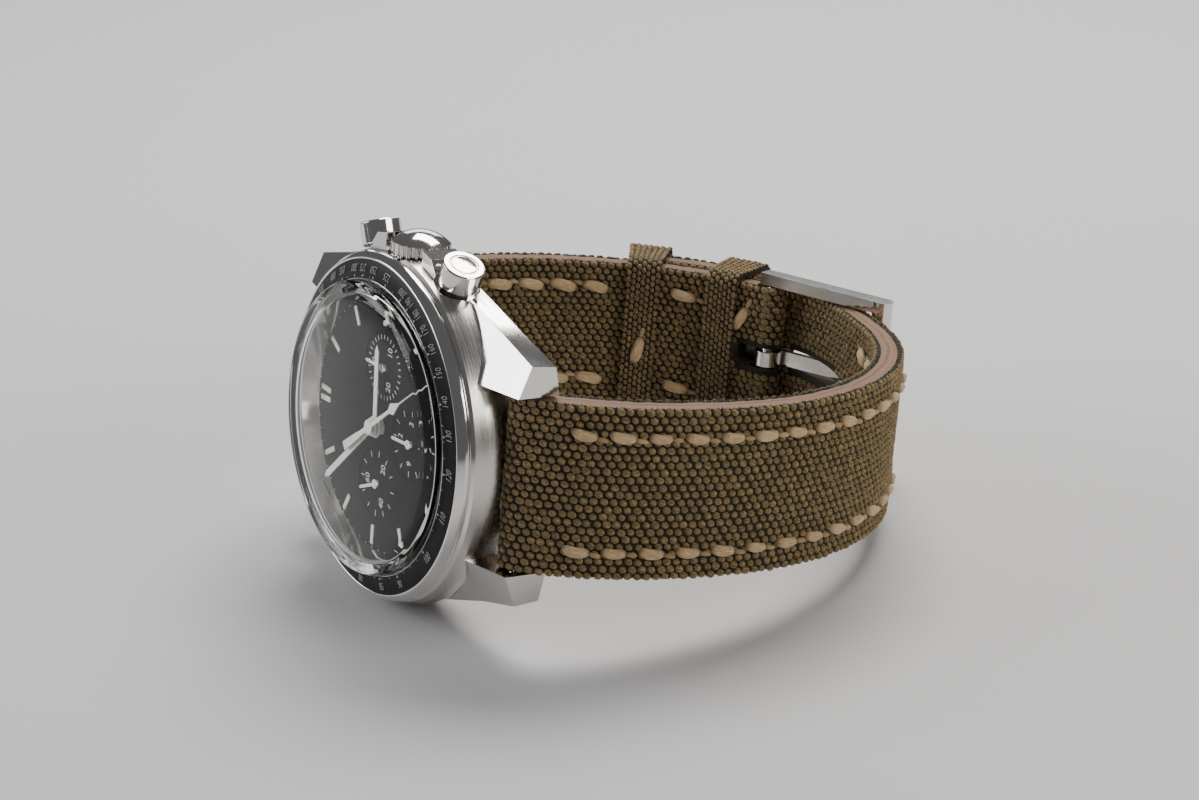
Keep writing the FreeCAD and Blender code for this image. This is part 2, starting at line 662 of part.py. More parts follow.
def make_balance():
    """The balance, its spring and cock, and the pallet fork between it and the escape wheel."""
    place = Placement(Vector(0, *BALANCE), Rotation())
    body = turned("balance_wheel", [
        (-0.6, "0"), (-0.6, "0.15"), (1.9, "0.15"), (1.9, "0.9"), (2.05, "0.9"), (2.05, "3.6"), (1.7, "3.6"),
        (1.7, "4.2"), (2.3, "4.2"), (2.3, "0.15"), (3.4, "0.15"), (3.4, "0"),
    ], place)
    sketch = new_sketch(body, "balance_window", "YZ_Plane", 1.95)
    draw_outline(sketch, [("-1.0", "1.2"), ("1.0", "1.2"), ("2.2", "3.2"), ("-2.2", "3.2")])
    window = body.newObject("PartDesign::Pocket", "balance_window_cut")
    window.Profile = sketch
    window.Length = 0.5
    window.Reversed = True
    doc.recompute()
    ring_pattern(body, window, "3", "balance_windows")
    turns = 6
    spiral = [Vector(2.62, r * math.cos(a), r * math.sin(a)) for r, a in
              ((0.5 + 1.1 * step / (turns * 12), step * math.pi / 6) for step in range(turns * 12 + 1))]
    path = Part.BSplineCurve()
    path.interpolate(spiral)
    strip = path.toShape().extrude(Vector(0.12, 0, 0))
    ribbon = strip.makeOffsetShape(0.05, 0.001, fill=True)
    spring = doc.addObject("Part::Feature", "hairspring")
    spring.Label = "hairspring"
    spring.Shape = ribbon
    keep(spring, place)
    y, z = BALANCE
    plate("balance_cock", [(y - 1.2, z - 1.3), (y + 1.2, z - 1.3), (y + 1.2, z + 1.3), (y + 2.0, z + 6.0),
                           (y + 3.0, z + 13.0), (y - 1.0, z + 11.5), (y - 1.2, z + 3.0)], 2.95, 0.45,
          [(y, z, 0.2)])
    y, z = PALLET
    plate("pallet_fork", [(y - 1.5, z + 1.6), (y - 1.2, z + 1.9), (y + 0.35, z + 0.3), (y + 1.0, z + 0.7),
                          (y + 1.2, z + 0.4), (y + 0.3, z - 0.3), (y + 0.1, z - 1.3), (y - 0.25, z - 1.3),
                          (y - 0.35, z - 0.2)], 2.6, 0.2)


def make_casing():
    turned("movement_ring", [
        (-1.1, "plate_edge + 0.1"), (-1.1, "movement_bore - 0.1"), (1.6, "movement_bore - 0.1"),
        (1.6, "plate_edge + 0.1"),
    ])
    ring = parts[-1][0]
    slots = []
    for angle in (0.0, size["pusher_angle"], -size["pusher_angle"]):
        outward = radial(angle).Rotation.multVec(Vector(1, 0, 0))
        slots.append(Part.makeCylinder(1.9, 6.0, radial(angle).Base + outward * 12.0, outward))
    cutter = doc.addObject("Part::Feature", "ring_slots")
    cutter.Shape = Part.makeCompound(slots)
    boolean = ring.newObject("PartDesign::Boolean", "ring_slot_cut")
    boolean.Type = "Cut"
    boolean.Group = [cutter]
    doc.recompute()
    group_of_rods("casing_screws", [
        (Vector(1.62, 14.2 * math.cos(a), 14.2 * math.sin(a)), Vector(1, 0, 0), 0.65, 0.35)
        for a in (math.radians(150), math.radians(-150), math.radians(0))])


# ---- strap -----------------------------------------------------------------------------------------

def ease(ratio):
    """A smooth step from 0 to 1."""
    ratio = min(1.0, max(0.0, ratio))
    return ratio * ratio * (3 - 2 * ratio)


def bar_angle():
    """A lug bar's angle round the loop."""
    return math.degrees(math.atan2(size["bar_reach"], size["bar_forward"] - size["loop_middle"]))


def bar_radius():
    return math.hypot(size["bar_reach"], size["loop_middle"] - size["bar_forward"])


def long_middle(angle):
    """Distance of the long piece's middle line from the loop's middle."""
    near = 32.2 + (bar_radius() - 32.2) * ease((-100 - angle) / (bar_angle() - 100))
    return near + 2.2 * ease((angle + 14) / 30)


def short_middle(angle):
    """The same for the short piece, which lies inside the long piece's tail."""
    return 30.8 + (bar_radius() - 30.8) * ease((angle - 66) / (bar_angle() - 66))


def thickness(angle):
    ends = size["strap_tip_thick"], size["strap_end_thick"]
    return ends[0] + (ends[1] - ends[0]) * ease((abs(angle) - 60) / (bar_angle() - 60))


def half_width(angle, side):
    """Half the strap's width: it tapers from its lug (side -1 is 6 o'clock's, 1 is 12 o'clock's)."""
    reach = 150.0 if side < 0 else 79.0
    share = (bar_angle() - side * angle) / reach
    return size["strap_end_half"] + (size["strap_tip_half"] - size["strap_end_half"]) * min(1.0, share)


def on_loop(radius, angle, up=0.0):
    turn = math.radians(angle)
    return Vector(size["loop_middle"] + radius * math.cos(turn), radius * math.sin(turn), up)


def layer(middle, start, stop, below, above, side, steps=22):
    """A strap layer, lofted along the loop between two depths, each 0 at the lining, 1 at the canvas.

    below and above give each face's distance from the strap's middle line for a thickness.
    """
    wires = []
    for step in range(steps + 1):
        angle = start + (stop - start) * step / steps
        thick = thickness(angle)
        inner = middle(angle) + below(thick)
        outer = middle(angle) + above(thick)
        wide = half_width(angle, side)
        corners = [on_loop(inner, angle, -wide), on_loop(outer, angle, -wide),
                   on_loop(outer, angle, wide), on_loop(inner, angle, wide)]
        wires.append(Part.makePolygon(corners + corners[:1]))
    return Part.makeLoft(wires, True, False)


def layers():
    """The three layers of a strap, as pairs of rules for their faces."""
    sheet_thick = size["canvas"]
    return {
        "canvas": (lambda thick: thick / 2 - sheet_thick, lambda thick: thick / 2),
        "core": (lambda thick: -thick / 2 + sheet_thick, lambda thick: thick / 2 - sheet_thick),
        "lining": (lambda thick: -thick / 2, lambda thick: -thick / 2 + sheet_thick),
    }


def roll(centre, outer, inner, half):
    """The strap's end, rolled round a bar."""
    foot = centre - Vector(0, 0, half)
    up = Vector(0, 0, 1)
    return Part.makeCylinder(outer, 2 * half, foot, up).cut(
        Part.makeCylinder(inner, 2 * half + 2, foot - Vector(0, 0, 1), up))


def tip_corners(middle, angle, half):
    """The two corners that are cut away to leave the strap's tail rounded at an angle round the loop."""
    turn = math.radians(angle)
    tangent = Vector(-math.sin(turn), math.cos(turn), 0)
    outward = Vector(math.cos(turn), math.sin(turn), 0)
    tip = on_loop(middle(angle), angle)
    arc = []
    for step in range(13):
        swing = math.pi * step / 12 - math.pi / 2
        arc.append(tip - tangent * half * 0.9 * (1 - math.cos(swing)) + Vector(0, 0, half * math.sin(swing)))
    margin = Vector(0, 0, 2)
    ahead = tangent * half * 1.5
    outline = arc + [arc[-1] + margin, arc[-1] + margin + ahead, arc[0] - margin + ahead, arc[0] - margin]
    outline = [point - outward * 6 for point in outline]
    return Part.Face(Part.makePolygon(outline + outline[:1])).extrude(outward * 12)


def slot_block(centre_angle, length, wide):
    """A block through the strap where the tang passes, at an angle round the loop."""
    turn = math.radians(centre_angle)
    outward = Vector(math.cos(turn), math.sin(turn), 0)
    block = Part.makeBox(12.0, length, wide, Vector(-6.0, -length / 2, -wide / 2))
    place = Placement(on_loop(33.0, centre_angle), Rotation(Vector(0, 0, 1), centre_angle))
    return block.transformGeometry(place.toMatrix())


def make_strap_layers(name, middle, start, stop, side, roll_at, roll_place, cutters):
    """The canvas, core and lining of one strap piece, the lining rolled round its bar or bars."""
    for layer_name, (below, above) in layers().items():
        solid = layer(middle, start, stop, below, above, side)
        for centre, outer in roll_at:
            solid = solid.cut(Part.makeCylinder(outer + 0.01, 60, centre - Vector(0, 0, 30), Vector(0, 0, 1)))
        for cutter in cutters:
            solid = solid.cut(cutter)
        if layer_name == "lining":
            for centre, outer, inner, half, slot in roll_place:
                ring = roll(centre, outer, inner, half)
                if slot:
                    ring = ring.cut(slot)
                solid = solid.fuse(ring)
        feature = doc.addObject("Part::Feature", f"{name}_{layer_name}")
        feature.Label = f"{name}_{layer_name}"
        feature.Shape = solid
        keep(feature)


def buckle_bar_centre():
    return on_loop(short_middle(size["buckle_bar_angle"]), size["buckle_bar_angle"])


def make_straps():
    lug_roll = size["strap_end_thick"] / 2
    lug_half = size["strap_end_half"]
    bore = size["bar_shaft"] + 0.1
    six = Vector(size["bar_forward"], -size["bar_reach"], 0)
    twelve = Vector(size["bar_forward"], size["bar_reach"], 0)
    tail = 63.0
    make_strap_layers(
        "long_strap", long_middle, -bar_angle(), tail, -1, [(six, lug_roll)],
        [(six, lug_roll, bore, lug_half, None)],
        [tip_corners(long_middle, tail - 1.0, size["strap_tip_half"]), slot_block(5.0, 14.5, 2.4),
         slot_block(24.0, 3.0, 2.4), slot_block(36.0, 3.0, 2.4), slot_block(48.0, 3.0, 2.4)])
    bar = buckle_bar_centre()
    tip_roll = size["strap_tip_thick"] / 2
    tip_half = size["strap_tip_half"] + 0.1
    slot = slot_block(size["buckle_bar_angle"] + 1.0, 9.0, 2.8)
    make_strap_layers(
        "short_strap", short_middle, size["buckle_bar_angle"], bar_angle(), 1,
        [(twelve, lug_roll), (bar, tip_roll)],
        [(twelve, lug_roll, bore, lug_half, None), (bar, tip_roll, bore - 0.05, tip_half, slot)],
        [slot])


def stitch_row(middle, start, stop, side, face):
    """Short rods of thread, end to end in two rows along a strap face (1 is the canvas, -1 the lining)."""
    pitch = 4.2
    thread = 0.45
    solids = []
    angle = start
    while angle < stop:
        swing = math.degrees(pitch / middle(angle))
        length = math.degrees(2.8 / middle(angle))
        turn = math.radians(angle + length / 2)
        outward = Vector(math.cos(turn), math.sin(turn), 0) * face
        near, far = [middle(a) + face * thickness(a) / 2 for a in (angle, angle + length)]
        for edge in (-1, 1):
            up = edge * (half_width(angle, side) - 3.1)
            ends = [on_loop(near, angle, up - thread), on_loop(near, angle, up + thread),
                    on_loop(far, angle + length, up + thread), on_loop(far, angle + length, up - thread)]
            ends = [point + outward * 0.1 for point in ends]
            solids.append(Part.Face(Part.makePolygon(ends + ends[:1])).extrude(outward * 0.4))
        angle += swing
    return solids


def make_stitching():
    for name, middle, start, stop, side in (
            ("long_strap_stitching", long_middle, -bar_angle() + 9, -22.0, -1),
            ("short_strap_stitching", short_middle, 61.0, bar_angle() - 12, 1)):
        solids = stitch_row(middle, start, stop, side, 1) + stitch_row(middle, start, stop, side, -1)
        feature = doc.addObject("Part::Feature", name)
        feature.Label = name
        feature.Shape = Part.makeCompound(solids)
        keep(feature)


def make_keeper(name, start, sweep):
    """A band round both straps: a rectangular frame of (radius, height), turned part of a circle."""
    body = new_body(name)
    sketch = new_sketch(body, name + "_frame", "XZ_Plane")
    inner, outer, half, band = 28.85, 36.35, "strap_tip_half + 0.3", 0.9
    draw_outline(sketch, [(inner - band, f"-({half}) - {band}"), (outer + band, f"-({half}) - {band}"),
                          (outer + band, f"{half} + {band}"), (inner - band, f"{half} + {band}")])
    draw_second_outline(sketch, 4, [(inner, f"-({half})"), (outer, f"-({half})"),
                                    (outer, half), (inner, half)])
    band_turn = body.newObject("PartDesign::Revolution", name + "_turned")
    band_turn.Profile = sketch
    band_turn.ReferenceAxis = (sketch, ["V_Axis"])
    band_turn.Angle = sweep
    doc.recompute()
    keep(body, Placement(Vector(size["loop_middle"], 0, 0), Rotation(Vector(0, 0, 1), start)))


def draw_second_outline(sketch, first, outline):
    """A further closed outline of straight edges, numbered on from the first one."""
    points = [Vector(value(across), value(up), 0) for across, up in outline]
    count = len(points)
    for number, start in enumerate(points):
        sketch.addGeometry(Part.LineSegment(start, points[(number + 1) % count]))
    for number in range(count):
        edge = first + number
        sketch.addConstraint(Sketcher.Constraint("Coincident", edge, 2, first + (number + 1) % count, 1))
        pin_to(sketch, edge, 1, edge, *outline[number])


# ---- buckle and bars -------------------------------------------------------------------------------

def make_buckle():
    bar = buckle_bar_centre()
    end = on_loop(size["buckle_end_reach"], size["buckle_end_angle"])
    run = end - bar
    direction = Vector(run.x, run.y, 0).normalize()
    outward = Vector(-direction.y, direction.x, 0)
    inner, outer = size["buckle_inner"], size["buckle_outer"]
    up = Vector(0, 0, 1)
    solids = []
    for side in (-1, 1):
        low = min(side * inner, side * outer)
        corner = bar - direction * 1.5 - outward * 1.0 + up * low
        arm = Part.Face(Part.makePolygon([
            corner, corner + outward * 2.0, corner + outward * 2.3 + direction * (run.Length + 1.5),
            corner - outward * 0.1 + direction * (run.Length + 1.5), corner])).extrude(up * (outer - inner))
        solids.append(arm)
    end_bar = Part.makeCylinder(1.3, 2 * outer, end - up * outer, up)
    frame = end_bar.fuse(solids)
    frame = frame.cut(Part.makeCylinder(0.5, 2 * outer - 1.4, bar - up * (outer - 0.7), up))
    feature = doc.addObject("Part::Feature", "buckle_frame")
    feature.Label = "buckle_frame"
    feature.Shape = frame.removeSplitter()
    keep(feature)
    make_tang(bar, end, direction, outward)
    make_bar("buckle_bar", bar, size["bar_shaft"] - 0.05, inner - 0.15, 0.45, outer - 0.9)


def make_tang(bar, end, direction, outward):
    """The tang: an eye round the buckle's bar and a blade that rests on the end bar."""
    up = Vector(0, 0, 1)
    half = 1.0
    blade_foot = bar + outward * 1.05 - up * half
    tip = end + direction * 1.6
    rise = 1.4
    side_points = [
        blade_foot,
        end - direction * 1.6 + outward * (rise - 0.05) - up * half,
        end + outward * (rise + 0.02) - up * half,
        tip + outward * (rise - 0.3) - up * half,
        tip + outward * (rise + 0.15) - up * half,
        end + outward * (rise + 1.0) - up * half,
        end - direction * 2.6 + outward * (rise + 1.0) - up * half,
        blade_foot + outward * 0.55,
    ]
    blade = Part.Face(Part.makePolygon(side_points + side_points[:1])).extrude(up * 2 * half)
    eye = Part.makeCylinder(1.65, 2 * half, bar - up * half, up)
    tang = eye.fuse(blade).cut(Part.makeCylinder(0.92, 4 * half, bar - up * 2 * half, up))
    feature = doc.addObject("Part::Feature", "buckle_tang")
    feature.Label = "buckle_tang"
    feature.Shape = tang.removeSplitter()
    keep(feature)


def make_bar(name, centre, shaft, half, pivot, reach):
    """A spring bar: a tube with a thinner pivot at each end."""
    up = Vector(0, 0, 1)
    bar = Part.makeCylinder(shaft, 2 * half, centre - up * half, up)
    bar = bar.fuse(Part.makeCylinder(pivot, 2 * reach, centre - up * reach, up))
    feature = doc.addObject("Part::Feature", name)
    feature.Label = name
    feature.Shape = bar.removeSplitter()
    keep(feature)


def make_lug_bars():
    for hour, side in (("6", -1), ("12", 1)):
        centre = Vector(size["bar_forward"], side * size["bar_reach"], 0)
        make_bar(f"lug_bar_{hour}", centre, size["bar_shaft"], size["lug_inner"] - 0.2, 0.43, 11.6)


# ---- resting placement and files -------------------------------------------------------------------

def rest_placement():
    """Lean the watch back, then stand it on the floor with the origin under the middle of its box."""
    lean = Placement(Vector(), Rotation(Vector(0, 1, 0), size["lean_angle"]))
    box = FreeCAD.BoundBox()
    for part, place in parts:
        shape = part.Shape.copy()
        shape.Placement = lean.multiply(place).multiply(shape.Placement)
        box.add(shape.optimalBoundingBox(False))
    shift = Vector(-box.Center.x, -box.Center.y, -box.ZMin)
    return Placement(shift, Rotation()).multiply(lean)


def main():
    make_mid_case()
    make_bezel()
    make_crystal()
    make_case_back()
    make_crown()
    make_pushers()
    make_dial()
    make_hands()
    make_movement()
    make_casing()
    make_lug_bars()
    make_straps()
    make_stitching()
    make_keeper("fixed_keeper", 26.0, 8.0)
    make_keeper("loose_keeper", 47.0, 8.0)
    make_buckle()
    doc.recompute()
    rest = rest_placement()
    for part, place in parts:
        part.Placement = rest.multiply(place).multiply(part.Placement)
    doc.recompute()
    write_files()
    return rest


def write_files():
    for item in doc.Objects:
        if "Invalid" in item.State or "Error" in item.State:
            raise RuntimeError(f"{item.Name}: {item.State}")
    os.makedirs("parts", exist_ok=True)
    for part, place in parts:
        shape = part.Shape
        if shape.isNull() or not shape.isValid() or not shape.Solids:
            raise RuntimeError(part.Label + " has no valid solid")
        shape.exportStep(f"parts/{part.Label}.step")
        print(f"{part.Label:24s} {len(shape.Solids):3d} solids {shape.Volume:9.2f} mm3")


REST = main()
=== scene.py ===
"""A chronograph wristwatch lying buckled on its side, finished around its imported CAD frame.

Shapes are worked out in the watch's own frame: X runs from the dial to the case back, Y points to
12 o'clock and Z to 3 o'clock.  WATCH turns that frame into the resting one, and every finished mesh
carries its place, so each object sits at the origin.
"""
import json
import math
import random

import bmesh
import bpy
from bpy.props import FloatProperty, FloatVectorProperty, IntProperty, PointerProperty
from mathutils import Matrix, Vector

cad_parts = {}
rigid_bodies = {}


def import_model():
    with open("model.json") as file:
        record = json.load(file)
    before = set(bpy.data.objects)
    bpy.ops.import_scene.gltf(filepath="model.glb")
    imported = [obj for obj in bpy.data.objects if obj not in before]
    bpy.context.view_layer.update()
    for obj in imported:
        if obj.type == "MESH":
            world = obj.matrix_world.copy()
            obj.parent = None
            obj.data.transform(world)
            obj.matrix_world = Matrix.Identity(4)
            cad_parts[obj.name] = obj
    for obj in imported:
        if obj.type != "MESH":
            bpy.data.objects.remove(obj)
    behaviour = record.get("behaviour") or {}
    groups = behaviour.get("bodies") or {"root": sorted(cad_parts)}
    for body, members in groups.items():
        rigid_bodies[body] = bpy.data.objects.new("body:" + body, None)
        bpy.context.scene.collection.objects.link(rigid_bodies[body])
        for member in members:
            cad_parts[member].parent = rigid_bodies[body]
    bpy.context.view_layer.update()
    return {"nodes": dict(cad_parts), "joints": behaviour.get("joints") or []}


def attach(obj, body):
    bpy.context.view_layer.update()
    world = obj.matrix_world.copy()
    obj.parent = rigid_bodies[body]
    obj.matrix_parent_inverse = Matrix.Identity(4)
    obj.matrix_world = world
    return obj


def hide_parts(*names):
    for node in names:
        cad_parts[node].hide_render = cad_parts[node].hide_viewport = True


bl_info = {
    "name": "Buckled Chronograph",
    "version": (1, 0, 0),
    "blender": (4, 5, 0),
    "location": "View3D > Sidebar > Watch",
    "description": "Builds the visible pieces of a chronograph wristwatch around its CAD frame",
    "category": "Add Mesh",
}

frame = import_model()
JOINTS = {joint["name"]: joint for joint in frame["joints"]}
MM = 0.001


def watch_frame():
    """The watch's own frame, from the axes of the minute hand and the crown."""
    hand_joint_lift = 3 * MM            # the hands' joints lie this far in front of the frame's origin
    back = Vector(JOINTS["minute_hand_turn"]["axis"]).normalized()
    three = Vector(JOINTS["crown_turn"]["axis"]).normalized()
    twelve = three.cross(back).normalized()
    origin = Vector(JOINTS["minute_hand_turn"]["pos_m"]) + back * hand_joint_lift
    matrix = Matrix((back, twelve, three)).transposed().to_4x4()
    matrix.translation = origin
    return matrix


WATCH = watch_frame()


# ---- settings --------------------------------------------------------------------------------------

def length(name, description, millimetres):
    return FloatProperty(name=name, description=description, default=millimetres * MM, unit="LENGTH")


def angle(name, description, degrees):
    return FloatProperty(name=name, description=description, default=math.radians(degrees),
                         subtype="ANGLE")


def colour(name, description, value):
    return FloatVectorProperty(name=name, description=description, default=value, subtype="COLOR",
                               size=3, min=0.0, max=1.0)


class StageSettings(bpy.types.PropertyGroup):
    floor_colour: colour("Floor", "Colour of the plain floor", (0.60, 0.60, 0.61))
    view_azimuth: angle("Azimuth", "Camera's direction round the watch", -33.5)
    view_elevation: angle("Elevation", "Camera's height above the dial's axis", 17.18)
    view_roll: angle("Roll", "Camera's turn about its own axis", 4.756)
    view_distance: length("Distance", "Camera's distance from the watch", 376.2)
    view_across: length("Across", "Aim point's shift to the right", 22.91)
    view_up: length("Up", "Aim point's shift upwards", 2.746)
    lens: FloatProperty(name="Lens", description="Focal length in millimetres", default=98.1)
    key_power: FloatProperty(name="Key light", description="Power of the overhead softbox", default=3.0)
    fill_power: FloatProperty(name="Fill light", description="Power of the side fill", default=1.3)


class CaseSettings(bpy.types.PropertyGroup):
    steel_colour: colour("Steel", "Colour of the polished steel", (0.80, 0.775, 0.745))
    satin_colour: colour("Satin steel", "Colour of the brushed steel", (0.62, 0.60, 0.575))
    insert_colour: colour("Insert", "Colour of the bezel insert", (0.006, 0.006, 0.0065))
    scale_colour: colour("Scale", "Colour of the bezel's numerals", (0.55, 0.55, 0.53))
    edge: length("Edge", "Width of the broken edges", 0.14)


class DialSettings(bpy.types.PropertyGroup):
    dial_colour: colour("Dial", "Colour of the dial", (0.004, 0.004, 0.0045))
    mark_colour: colour("Markings", "Colour of the printed markings", (0.60, 0.62, 0.58))
    lume_colour: colour("Lume", "Colour of the luminous fill", (0.66, 0.71, 0.56))
    hand_colour: colour("Hands", "Colour of the hands", (0.74, 0.73, 0.68))


class StrapSettings(bpy.types.PropertyGroup):
    canvas_colour: colour("Canvas", "Colour of the woven yarn", (0.098, 0.071, 0.032))
    # painted shade: this colour stands for the shade deep between the yarns, on the crossings' feet and on
    # the dark sheet under them
    gap_colour: colour("Canvas gaps", "Colour deep between the yarns", (0.012, 0.009, 0.004))
    leather_colour: colour("Leather", "Colour of the burnished leather edge", (0.20, 0.094, 0.026))
    fray_colour: colour("Fray", "Colour of the frayed canvas edges", (0.20, 0.165, 0.115))
    thread_colour: colour("Thread", "Colour of the waxed stitching", (0.72, 0.50, 0.26))
    weave_pitch: length("Weave pitch", "Distance between yarn crossings along a row", 1.08)
    weave_rows: IntProperty(name="Weave rows", description="Rows of crossings across the strap", default=23)
    stitch_pitch: length("Stitch pitch", "Distance from stitch to stitch", 4.2)
    stitch_length: length("Stitch length", "Length of a stitch", 3.2)
    thread_width: length("Thread width", "Width of the stitching thread", 1.2)


# ---- mesh helpers ----------------------------------------------------------------------------------

def finish_mesh(mesh, name, materials, body, replaced=(), smooth=40.0):
    """A mesh drawn in the watch's frame becomes a finished piece on a body."""
    mesh.transform(WATCH)
    piece = placed(name, mesh)
    for finish in materials:
        mesh.materials.append(finish)
    if smooth is not None:
        smooth_by_angle(mesh, smooth)
    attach(piece, body)
    if replaced:
        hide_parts(*replaced)
    return piece


def smooth_by_angle(mesh, degrees):
    mesh.shade_smooth()
    mesh.set_sharp_from_angle(angle=math.radians(degrees))


def placed(name, data):
    """A new object in the scene."""
    piece = bpy.data.objects.new(name, data)
    bpy.context.scene.collection.objects.link(piece)
    return piece


def mesh_from(bm, name):
    """The finished mesh, its faces turned outwards."""
    bmesh.ops.recalc_face_normals(bm, faces=bm.faces)
    mesh = bpy.data.meshes.new(name)
    bm.to_mesh(mesh)
    bm.free()
    return mesh


def skin(bm, rings, closed=False, capped=False):
    """Faces from each ring of corners to the next, round to the first again if closed."""
    following = rings[1:] + rings[:1] if closed else rings[1:]
    for ring, after in zip(rings, following):
        for number in range(len(ring)):
            beside = (number + 1) % len(ring)
            bm.faces.new((ring[number], ring[beside], after[beside], after[number]))
    if capped:
        bm.faces.new(rings[0])
        bm.faces.new(list(reversed(rings[-1])))


def rounded(outline, radius, steps=3):
    """An outline with its corners rounded; points on the axis stay sharp."""
    points = [Vector(point) for point in outline]
    result = []
    for number, corner in enumerate(points):
        before = points[number - 1]
        after = points[(number + 1) % len(points)]
        if corner.y < 1e-6:
            result.append(corner)
            continue
        reach = min(radius, (before - corner).length * 0.4, (after - corner).length * 0.4)
        start = corner + (before - corner).normalized() * reach
        stop = corner + (after - corner).normalized() * reach
        for step in range(steps + 1):
            share = step / steps
            result.append(start * (1 - share) ** 2 + corner * 2 * share * (1 - share) + stop * share ** 2)
    return result


def dome(start, stop, steps):
    """Points along an arc centred on the turning axis, between two (along, radius) points."""
    middle = (stop[0] ** 2 + stop[1] ** 2 - start[0] ** 2 - start[1] ** 2) / (2 * (stop[0] - start[0]))
    radius = math.hypot(start[0] - middle, start[1])
    first, last = (math.atan2(point[1], point[0] - middle) for point in (start, stop))
    turns = [first + (last - first) * step / steps for step in range(steps + 1)]
    return [(middle + radius * math.cos(turn), radius * math.sin(turn)) for turn in turns]


def lathe(name, outline, steps):
    """A closed outline of (along, radius) millimetres, turned about the dial's axis."""
    bm = bmesh.new()
    rings = []
    for step in range(steps):
        turn = 2 * math.pi * step / steps
        rings.append([bm.verts.new((along * MM, radius * MM * math.cos(turn), radius * MM * math.sin(turn)))
                      for along, radius in outline])
    skin(bm, rings, closed=True)
    bmesh.ops.remove_doubles(bm, verts=bm.verts, dist=1e-7)
    bmesh.ops.dissolve_degenerate(bm, edges=bm.edges, dist=1e-8)
    return mesh_from(bm, name)


def dressed(node_name, body, material, edge, name=None, segments=2, limit=28.0):
    """A merged copy of a CAD node with broken edges and smooth faces, which stands for the node."""
    mesh = frame["nodes"][node_name].data.copy()
    mesh.materials.clear()
    bm = bmesh.new()
    bm.from_mesh(mesh)
    bmesh.ops.remove_doubles(bm, verts=bm.verts, dist=2e-6)
    bmesh.ops.dissolve_degenerate(bm, edges=bm.edges, dist=1e-7)
    bmesh.ops.dissolve_limit(bm, angle_limit=math.radians(0.6), verts=bm.verts, edges=bm.edges)
    bm.to_mesh(mesh)
    bm.free()
    if mesh.has_custom_normals:
        mesh.attributes.remove(mesh.attributes["custom_normal"])
    piece = placed(name or node_name + "_finished", mesh)
    mesh.materials.append(material)
    smooth_by_angle(mesh, limit)
    if edge:
        bevel = piece.modifiers.new("broken edges", "BEVEL")
        bevel.width = edge
        bevel.segments = segments
        bevel.limit_method = "ANGLE"
        bevel.angle_limit = math.radians(limit)
        bevel.use_clamp_overlap = True
        bevel.harden_normals = True
    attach(piece, body)
    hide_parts(node_name)
    return piece


# ---- node helpers ----------------------------------------------------------------------------------

def add(tree, kind, inputs=None, **settings):
    """A node with its settings made and its sockets linked or set."""
    made = tree.nodes.new(kind)
    for key, value in settings.items():
        setattr(made, key, value)
    for socket, value in (inputs or {}).items():
        target = made.inputs[socket]
        if isinstance(value, bpy.types.NodeSocket):
            tree.links.new(value, target)
        else:
            target.default_value = value
    return made


def maths(tree, operation, *values):
    return add(tree, "ShaderNodeMath", dict(enumerate(values)), operation=operation).outputs[0]


def vector_maths(tree, operation, *values):
    inputs = {("Scale" if operation == "SCALE" and number == 1 else number): value
              for number, value in enumerate(values)}
    return add(tree, "ShaderNodeVectorMath", inputs, operation=operation).outputs[0]


def ramp(tree, factor, *stops):
    """A colour ramp with stops of (position, colour)."""
    made = add(tree, "ShaderNodeValToRGB", {0: factor})
    elements = made.color_ramp.elements
    for number, (position, value) in enumerate(stops):
        element = elements[number] if number < 2 else elements.new(position)
        element.position = position
        element.color = (*value, 1.0)
    return made.outputs[0]


def mixed(tree, factor, first, second, blend="MIX"):
    return add(tree, "ShaderNodeMix", {0: factor, 6: first, 7: second}, data_type="RGBA",
               blend_type=blend).outputs[2]


def rgba(value, share=1.0):
    return (*(channel * share for channel in value), 1.0)


def new_material(name, **sockets):
    """A material with one Principled shader, its plain numbers on its own sockets."""
    material = bpy.data.materials.new(name)
    material.use_nodes = True
    tree = material.node_tree
    shader = tree.nodes["Principled BSDF"]
    for key, value in sockets.items():
        shader.inputs[key.replace("_", " ")].default_value = value
    return material, tree, shader


def watch_place(tree):
    """Object coordinates turned into the watch's own frame."""
    back = WATCH.inverted()
    return add(tree, "ShaderNodeMapping", {
        "Vector": object_place(tree), "Location": back.translation, "Rotation": back.to_euler()}).outputs[0]


def bump(tree, shader, height, distance, strength):
    made = add(tree, "ShaderNodeBump", {"Height": height, "Distance": distance, "Strength": strength})
    tree.links.new(made.outputs[0], shader.inputs["Normal"])


def stretched(tree, source, low, high, bottom=0.0, top=1.0):
    """A value whose span from low to high becomes one from bottom to top."""
    return add(tree, "ShaderNodeMapRange", {0: source, 1: low, 2: high, 3: bottom, 4: top}).outputs[0]


def gloss(tree, shader, source, low, high, smoothest, roughest):
    """Roughness that follows a source between its low and its high."""
    tree.links.new(stretched(tree, source, low, high, smoothest, roughest), shader.inputs["Roughness"])


def attribute(tree, name, output="Fac"):
    return add(tree, "ShaderNodeAttribute", attribute_name=name).outputs[output]


def object_place(tree):
    return add(tree, "ShaderNodeTexCoord").outputs["Object"]


def split(tree, vector):
    return add(tree, "ShaderNodeSeparateXYZ", {0: vector}).outputs


def combined(tree, x=0.0, y=0.0, z=0.0):
    return add(tree, "ShaderNodeCombineXYZ", {0: x, 1: y, 2: z}).outputs[0]


def noise(tree, vector, scale, detail=3.0, roughness=0.5):
    return add(tree, "ShaderNodeTexNoise", {
        "Vector": vector, "Scale": scale, "Detail": detail, "Roughness": roughness}).outputs[0]


# ---- materials -------------------------------------------------------------------------------------

